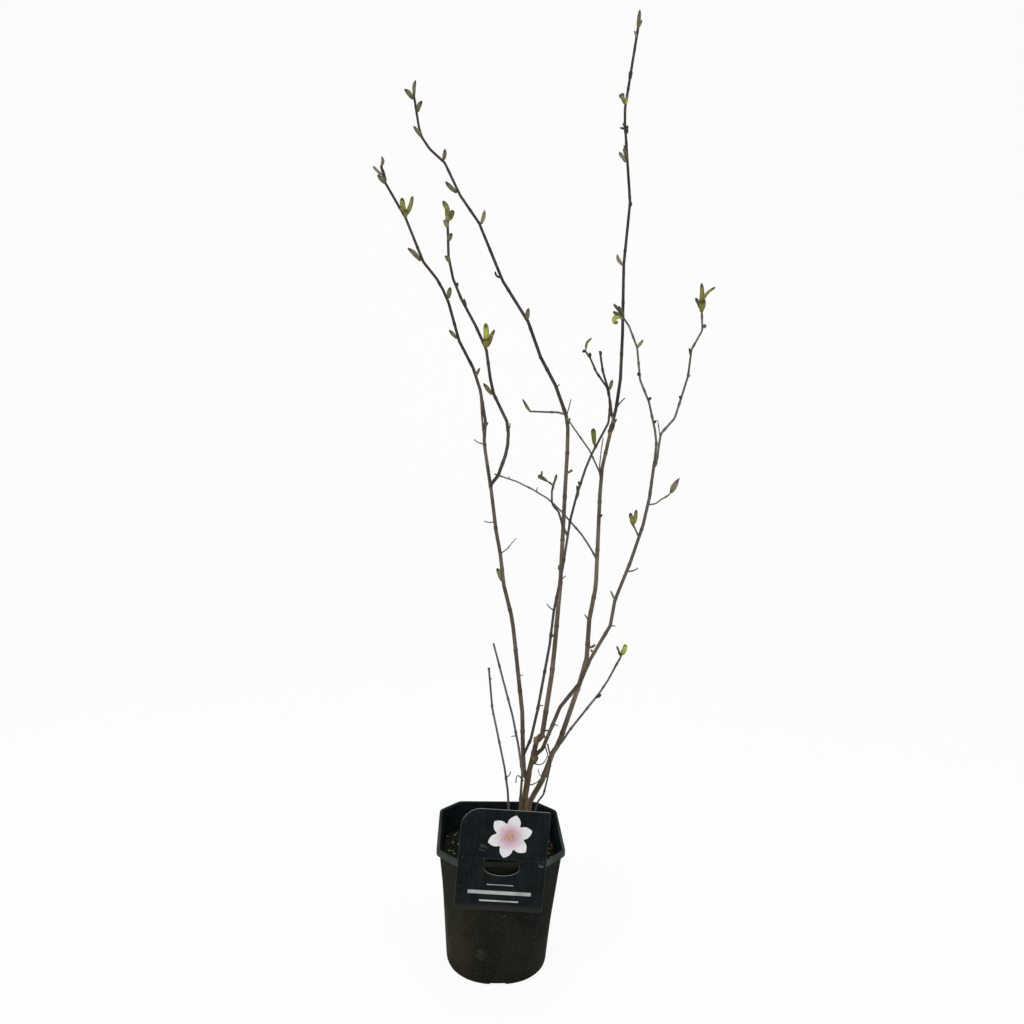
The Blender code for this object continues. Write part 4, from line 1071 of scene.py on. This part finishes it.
# Side buds with nodes of their own: bend to the right in millimetres, thickness, skin
SIDE_BUDS = {
    1: (0.0, 4.8, "olive"), 2: (0.0, 5.8, "olive"), 3: (0.8, 6.0, "olive"), 4: (0.0, 5.4, "olive"),
    5: (0.0, 4.2, "olive"), 6: (0.6, 5.2, "pale"), 7: (-0.8, 5.6, "olive"), 8: (0.8, 5.0, "olive"),
    9: (-1.4, 5.8, "olive"), 10: (0.6, 5.8, "olive"), 11: (-1.5, 4.8, "pale"),
}
for order, (bend, thickness, skin) in SIDE_BUDS.items():
    node = f"side_bud_{order}"
    base, tip = ends_of(node)
    points = bent_line(base, tip, 1.2 * MM, bend * MM, Vector((0, -0.6, 0)) * MM)
    mesh = bud_mesh(node + "_scales", points, thickness * MM, 1.9 * order, point=0.65)
    piece(node + "_scales", mesh, [BUD_SKINS[skin]], [node])

for order, (node, (middle, tip, thickness, point)) in enumerate(END_BUDS.items()):
    foot = lines[node][-1][0]
    points = [foot - (Vector(tip) * MM).normalized() * 1.0 * MM, foot + Vector(middle) * MM, foot + Vector(tip) * MM]
    mesh = bud_mesh(node + "_end_bud", points, thickness * MM, 2.3 * order, 0.55, 0.5, point)
    piece(node + "_end_bud", mesh, [BUD_SKINS["olive"]])

# Small buds and opening sheaths of each shoot: height of the foot, reach right, back and up, thickness, skin
SMALL_BUDS = {
    "left_stem": (
        (778, (5, -3, 11), 4.2, "olive"), (712, (4, -3, 7), 3.0, "olive"), (1021, (-10.5, -4, 9.5), 6.0, "olive"),
        (978, (1, -5, 10), 4.6, "green"), (985, (0, -3, 9), 6.0, "olive"),
    ),
    "inner_left_stem": (
        (909, (-5.6, -3, 7), 5.0, "olive"), (933, (4.6, -3, 9), 5.4, "olive"), (948, (-5, -3, 9), 4.8, "pale"),
        (955, (-1, -3, 8), 5.2, "pale"), (955, (3, -3, 7), 4.6, "green"), (810, (-1.6, -4, 12), 5.0, "green"),
        (810, (3.0, -4, 13), 5.0, "green"),
    ),
    "slim_stem": (
        (445, (4, -3, 4), 2.8, "dark"), (642, (-3, -3, 6), 3.0, "dark"), (804, (-0.4, -1, 6), 2.8, "dark"),
    ),
    "tall_stem_twig": (
        (789, (-4, -3, 4), 3.4, "dark"), (806, (-1, -3, 6), 3.6, "dark"), (815, (-3, -2, -3), 3.9, "dark"),
    ),
    "slim_stem_twig": ((641, (1.5, -3, 8.6), 3.0, "olive"),),
    "middle_stem": (
        (659, (1.2, -4, 5), 3.4, "olive"), (718, (2.8, -4, 10.5), 3.4, "dark"),
        (855, (1.1, -3, 15.6), 5.4, "olive"), (1087, (-10.8, -4, 12), 5.4, "olive"),
    ),
    "tall_stem": (
        (599, (4, -4, 5), 3.2, "dark"), (706, (-3, -5, 8), 3.8, "green"), (712, (3.6, -5, 9), 3.6, "dark"),
        (720, (1.5, -5, 9), 3.4, "green"), (1197, (3.9, -4, 9), 3.2, "olive"), (1186, (-3.6, -3, 8), 2.6, "pale"),
        (1168, (2, -2, 5), 2.2, "dark"), (1082, (-8, -4, 0), 2.8, "dark"), (1083, (-4.4, -4, 5), 2.6, "dark"),
        (1078, (2.2, -3, 8), 3.6, "dark"),
    ),
    "right_stem": ((495, (-7.3, -4, 14.6), 2.8, "pale"),),
    "right_fork_inner": (
        (723, (3, -3, 4), 3.5, "dark"), (751, (3, -3, 4), 3.5, "dark"), (781, (-3.6, -3, 3.6), 4.4, "dark"),
        (815, (6.4, -4, 10), 3.9, "pale"),
    ),
    "right_fork_outer": (
        (753, (-3, -3, 4), 3.2, "dark"), (805, (-3.4, -3, 9), 3.2, "dark"), (856, (-3.9, -4, 13), 6.0, "green"),
        (857, (2.0, -4, 13), 5.4, "green"),
    ),
    "low_right_twig": ((363, (7, -4, 6), 4.0, "dark"), (424, (-5, -3, 5), 3.2, "dark")),
}
small_buds = [(lines[node], *bud) for node, buds in SMALL_BUDS.items() for bud in buds]
for order, (line, height, reach, thickness, skin) in enumerate(small_buds, 1):
    foot, _ = at_height(line, height * MM)
    tip = foot + Vector(reach) * MM
    # Each bows forwards and a little towards its shoot
    middle = foot.lerp(tip, 0.5) + Vector((0.3 if reach[0] < 0 else -0.3, -0.8, 0)) * MM
    mesh = bud_mesh(f"small_bud_{order:02d}", [foot, middle, tip], thickness * MM, 1.3 * order, point=0.6)
    piece(f"small_bud_{order:02d}", mesh, [BUD_SKINS[skin]])

base, tip = ends_of("flower_bud")
base = base - (tip - base) * 0.06
tip = base + Vector((8.4, -6, 19)) * MM
middle = base.lerp(tip, 0.5) + Vector((-0.7, -0.6, 0.3)) * MM
flower_bud_mesh = bud_mesh("flower_bud_scales", [base, middle, tip], 6.8 * MM, 0.8, 0.40, 0.5, 0.95)
piece("flower_bud_scales", flower_bud_mesh, [BUD_SKINS["flower"]], ["flower_bud"])

# Young leaves
# Thin blades just out of the bud, still cupped about their midrib and blunt at the end. They are
# yellow-green and downy, orange-brown at the foot and withered dark at the tip, with sunken side veins.

LEAF_ROWS = 20
LEAF_STEPS = 10
LEAF_SHEET = 0.42 * MM


def leaf_mesh(name, points, width, stalk, cup, turn, club, blunt):
    """One leaf along a curve: a stalk for its first share, then a blade cupped through an arc of 2 x cup."""
    rings = []
    for i in range(LEAF_ROWS + 1):
        s = i / LEAF_ROWS
        middle, heading = on_curve(points, s)
        side, face = cross_frame(heading, Vector((sin(turn), -cos(turn), 0.2)))
        blade = max(0.0, (s - stalk) / (1 - stalk))
        t = 0.05 + 0.95 * blade**club
        half = width / 2 * max(0.0, 4 * t * (1 - t)) ** blunt if blade > 0 else 0.0
        half = max(half, 0.55 * MM * (1 - blade) + 0.2 * MM)
        half *= 1 + 0.07 * sin(9 * blade + 2 * turn)
        radius = half / sin(radians(min(cup, 90)))
        inner = max(radius * 0.3, radius - LEAF_SHEET)
        centre = middle - face * radius * 0.6
        arc = [radians(cup) * (2 * k / LEAF_STEPS - 1) for k in range(LEAF_STEPS + 1)]
        ring = [centre + (side * sin(a) + face * cos(a)) * radius for a in arc]
        ring += [centre + (side * sin(a) + face * cos(a)) * inner for a in reversed(arc)]
        rings.append(ring)
    builder = bmesh.new()
    rows = loft(builder, rings)
    uv = builder.loops.layers.uv.new("leaf")
    place_of = {}  # across the leaf and along its blade
    for i, row in enumerate(rows):
        for k, vert in enumerate(row):
            u = k / LEAF_STEPS if k <= LEAF_STEPS else (2 * LEAF_STEPS + 1 - k) / LEAF_STEPS
            place_of[vert] = (u, max(0.0, (i / LEAF_ROWS - stalk) / (1 - stalk)))
    for loop in (loop for leaf_face in builder.faces for loop in leaf_face.loops):
        loop[uv].uv = place_of[loop.vert]
    return mesh_from(builder, name, 70)


def leaf_blade(name, foot_colour, young, deep, tip_colour, vein_colour):
    """Young leaf tissue, coloured along the leaf's own map: foot, blade with pale veins, withered tip and edge."""
    material, tree, shader = new_material(
        name, Specular_IOR_Level=0.25, Roughness=0.55, Sheen_Weight=0.1, Subsurface_Weight=0.06, Subsurface_Scale=0.002
    )
    place = add(tree, "TexCoord").outputs["Object"]
    across, along, _ = add(tree, "SeparateXYZ", add(tree, "UVMap", uv_map="leaf")).outputs
    from_rib = add(tree, "Math", add(tree, "Math", across, 0.5, operation="SUBTRACT"), operation="ABSOLUTE")
    blotch = add(tree, "TexNoise", place, Scale=230.0, Detail=4.0)
    tissue = add(tree, "Mix", add(tree, "MapRange", blotch, 0.35, 0.65), young, deep, **COLOURS)
    # Side veins leave the midrib every tenth of the blade and rake forwards
    rake = add(tree, "Math", from_rib, -0.5, along, operation="MULTIPLY_ADD")
    beat = add(tree, "Math", add(tree, "Math", rake, 10.0, operation="MULTIPLY"), 0.5, operation="PINGPONG")
    side_veins = add(tree, "MapRange", beat, 0.0, 0.12, 0.4, 0.0, **SMOOTH)
    rib = add(tree, "MapRange", from_rib, 0.01, 0.06, 0.6, 0.0, **SMOOTH)
    veins = add(tree, "Math", side_veins, rib, operation="MAXIMUM")
    reached = add(tree, "Math", blotch, 0.4, along, operation="MULTIPLY_ADD")
    foot = add(tree, "MapRange", reached, 0.22, 0.52, 0.85, 0.0, **SMOOTH)
    tip = add(tree, "MapRange", reached, 0.86, 1.08, 0.0, 0.9, **SMOOTH)
    margin = add(tree, "MapRange", from_rib, 0.38, 0.5, 0.0, 0.7, **SMOOTH)
    withered = add(tree, "Math", margin, tip, operation="MAXIMUM")
    for share, tint in ((veins, vein_colour), (foot, foot_colour), (withered, tip_colour)):
        tissue = add(tree, "Mix", share, tissue, tint, **COLOURS)
    relief = add(tree, "Bump", Height=veins, Strength=0.5, Distance=0.2 * MM, invert=True)
    feed(shader, Base_Color=tissue, Normal=relief)
    return material


LEAF_SKINS = {
    "fresh": leaf_blade("fresh_magnolia_leaf", "#604b27", "#80832f", "#575c27", "#2b2920", "#94954f"),
    "bright": leaf_blade("bright_magnolia_leaf", "#7a7326", "#a5ac2f", "#838a27", "#4f4c26", "#bcbb66"),
    "deep": leaf_blade("deep_green_magnolia_leaf", "#514a22", "#68701e", "#4a5216", "#2d2b1d", "#858b48"),
    "olive": leaf_blade("downy_olive_magnolia_leaf", "#544e31", "#7b795a", "#615f42", "#38362b", "#949276"),
    "dark": leaf_blade("withered_magnolia_leaf", "#473a22", "#5a5434", "#413c28", "#2a2820", "#76704e"),
}

# Each leaf: width in millimetres, the stalk's share of its length, cup and turn in degrees, how far its
# widest part is moved to the end, bluntness (low is blunter), bend to the right in millimetres, and skin
LEAVES = {
    1: (7.4, 0.03, 65, 20, 1.0, 0.45, -0.6, "fresh"), 2: (7.0, 0.03, 55, -25, 1.0, 0.50, 1.4, "fresh"),
    3: (4.2, 0.05, 75, 10, 1.0, 0.50, 0.0, "olive"), 4: (5.4, 0.10, 70, 0, 1.2, 0.55, 0.6, "fresh"),
    5: (7.6, 0.03, 60, 10, 0.9, 0.45, 0.6, "bright"), 6: (7.2, 0.03, 60, -30, 0.8, 0.50, -0.8, "fresh"),
    7: (7.4, 0.05, 60, 25, 1.2, 0.50, 3.0, "fresh"), 8: (6.6, 0.05, 75, -10, 1.2, 0.40, 0.6, "deep"),
    9: (6.6, 0.10, 65, 0, 1.5, 0.45, 0.0, "deep"), 10: (5.6, 0.35, 45, 15, 1.6, 0.45, 0.8, "fresh"),
    11: (6.0, 0.05, 70, 20, 0.9, 0.45, 0.0, "olive"), 12: (4.4, 0.05, 80, -20, 0.9, 0.50, 0.4, "olive"),
    13: (8.0, 0.05, 55, 10, 3.0, 0.33, 0.0, "olive"), 14: (3.6, 0.08, 80, 0, 1.0, 0.60, -3.0, "fresh"),
    15: (6.2, 0.03, 60, 15, 0.9, 0.45, 0.0, "fresh"), 16: (5.8, 0.03, 65, -30, 0.8, 0.50, 0.6, "fresh"),
    17: (4.8, 0.08, 75, 20, 1.0, 0.55, 0.8, "dark"), 18: (4.8, 0.08, 70, 0, 1.0, 0.50, 0.6, "dark"),
    19: (5.2, 0.06, 75, 10, 1.0, 0.50, 0.8, "dark"), 20: (6.2, 0.05, 65, 0, 0.8, 0.55, 0.6, "fresh"),
    21: (3.8, 0.05, 70, -20, 1.0, 0.42, -2.6, "fresh"), 22: (3.2, 0.08, 85, 10, 1.0, 0.60, 0.0, "dark"),
    23: (6.6, 0.05, 60, -20, 1.1, 0.45, 0.4, "bright"),
}
# Leaves whose foot and tip stand a little off their CAD ends, in millimetres
LEAF_ENDS = {
    3: ((-177, 46, 1032), (-187, 45, 1041)), 15: ((153.3, -38, 597), (148.9, -40, 611.2)),
    16: ((153.6, -38.6, 597), (156.4, -40, 615.2)), 20: ((217.6, -67, 862), (217.2, -65, 890.5)),
    21: ((217.4, -68, 867), (231.9, -72, 885)),
}
for order, (width, stalk, cup, turn, club, blunt, bend, skin) in LEAVES.items():
    node = f"young_leaf_{order:02d}"
    base, tip = (Vector(end) * MM for end in LEAF_ENDS[order]) if order in LEAF_ENDS else ends_of(node)
    if order == 8:
        tip = base + Vector((4.5, -3, 10.8)) * MM  # shorter than its CAD leaf
    points = bent_line(base, tip, 1.5 * MM, bend * MM, Vector((0, -0.04, 0)) * (tip - base).length)
    mesh = leaf_mesh(node + "_blade", points, width * MM, stalk, cup, radians(turn), club, blunt)
    piece(node + "_blade", mesh, [LEAF_SKINS[skin]], [node])

# Lesser leaves beside them: the shoot, height of the foot, the reach right, back and up of each point of the
# curve, then width, cup, turn, end shift, bluntness and skin
LESSER_LEAVES = (
    (
        "right_fork_inner", 850, ((-7, -4, 2.5), (-12.2, -6, 0), (-12.2, -6, -4.6), (-8, -5, -5.4)), 6.6, 75, 20,
        1.1, 0.45, "bright",
    ),
    ("tall_stem", 1043, ((-3, -5, 9), (-6.4, -6, 19)), 3.6, 75, 0, 1.0, 0.55, "dark"),
    ("right_fork_inner", 850, ((-4, -6, 7), (-9, -8, 14)), 4.2, 75, -10, 1.0, 0.55, "dark"),
    ("tall_stem", 1109, ((0.6, -3, 5), (1.6, -4, 9.7)), 3.4, 60, -20, 1.2, 0.5, "bright"),
    ("tall_stem", 716, ((2, -4, 6), (6, -5, 12)), 3.6, 70, 10, 1.0, 0.6, "dark"),
    ("tall_stem", 724, ((-1, -4, 4), (-2, -5, 9)), 3.0, 70, -10, 1.0, 0.6, "olive"),
    ("right_stem", 424, ((-2, -4, 3), (-5.5, -5, 6)), 3.4, 70, 0, 1.1, 0.5, "olive"),
)
for order, (node, height, reaches, width, cup, turn, club, blunt, skin) in enumerate(LESSER_LEAVES, 1):
    foot, _ = at_height(lines[node], height * MM)
    points = [foot] + [foot + Vector(reach) * MM for reach in reaches]
    mesh = leaf_mesh(f"lesser_leaf_{order}", points, width * MM, 0.05, cup, radians(turn), club, blunt)
    piece(f"lesser_leaf_{order}", mesh, [LEAF_SKINS[skin]])

# Studio
# A plain sweep of white paper, soft daylight from large square lamps, and the camera a little above the height
# of the plant's middle.

# White paper: what the camera sees directly is lifted to white, and what is left takes the plant's shadow
paper, tree, shader = new_material(
    "white_background_paper", Base_Color="#f4f4f4", Roughness=0.9, Specular_IOR_Level=0.0
)
lift = add(tree, "Math", add(tree, "LightPath").outputs["Is Camera Ray"], 0.92, operation="MULTIPLY")
glow = add(tree, "Emission", Color=(1.0, 1.0, 1.0, 1.0), Strength=1.0)
feed(tree.nodes["Material Output"], Surface=add(tree, "MixShader", lift, shader, glow))

SWEEP_BACK = 1.6
SWEEP_BEND = 0.9
SWEEP_TOP = 3.6
SWEEP_HALF = 4.0
profile = [(-3.0, 0.0), (SWEEP_BACK, 0.0)]
for turn in (pi / 2 * i / 12 for i in range(1, 13)):
    profile.append((SWEEP_BACK + SWEEP_BEND * sin(turn), SWEEP_BEND - SWEEP_BEND * cos(turn)))
profile.append((SWEEP_BACK + SWEEP_BEND, SWEEP_TOP))
builder = bmesh.new()
loft(builder, [[(x, y, z) for x in (-SWEEP_HALF, SWEEP_HALF)] for y, z in profile], closed=False)
sweep_mesh = bpy.data.meshes.new("paper_sweep")
builder.to_mesh(sweep_mesh)
builder.free()
sweep_mesh.shade_smooth()
sweep_mesh.materials.append(paper)
new_object("paper_sweep", sweep_mesh)

# Soft daylight: the surroundings are white to the camera and less than half as bright to the plant
scene = bpy.context.scene
scene.world = bpy.data.worlds.new("soft_daylight")
scene.world.use_nodes = True
tree = scene.world.node_tree
seen = add(tree, "LightPath").outputs["Is Camera Ray"]
strength = add(tree, "MapRange", seen, 0.0, 1.0, 0.45, 1.0)
feed(tree.nodes["Background"], Color=(1.0, 1.0, 1.0, 1.0), Strength=strength)

# Each lamp: where it hangs, its side in metres and its power in watts; all face the middle of the plant
LIT = Vector((0, 0, 0.55))
for name, hangs, side, power in (
    ("window_light", (-1.5, -1.7, 2.0), 1.6, 34.0),
    ("fill_light", (1.8, -1.3, 1.3), 1.6, 16.0),
    ("top_light", (0.1, 0.2, 2.6), 1.4, 12.0),
):
    lamp = bpy.data.lights.new(name, "AREA")
    lamp.shape = "SQUARE"
    lamp.size = side
    lamp.energy = power
    hung = new_object(name, lamp)
    hung.location = hangs
    hung.rotation_euler = (LIT - Vector(hangs)).to_track_quat("-Z", "Y").to_euler()

# The camera stands a metre in front and a little to the side, and looks slightly down at the whole plant
CAMERA_STAND = (3.1 * MM, -1.0208, 0.70185)
CAMERA_ASIDE = -2.99
CAMERA_DOWN = 5.46
CAMERA_ROLL = 1.79
optics = bpy.data.cameras.new("camera")
optics.sensor_width = 36.0
optics.lens = 27.91
camera = new_object("camera", optics)
stand = Matrix.Rotation(radians(CAMERA_ASIDE), 4, "Z") @ Matrix.Translation(CAMERA_STAND)
aim = Matrix.Rotation(radians(90 - CAMERA_DOWN), 4, "X") @ Matrix.Rotation(radians(CAMERA_ROLL), 4, "Z")
camera.matrix_world = stand @ aim
bpy.context.scene.camera = camera
scene.view_settings.view_transform = "Standard"
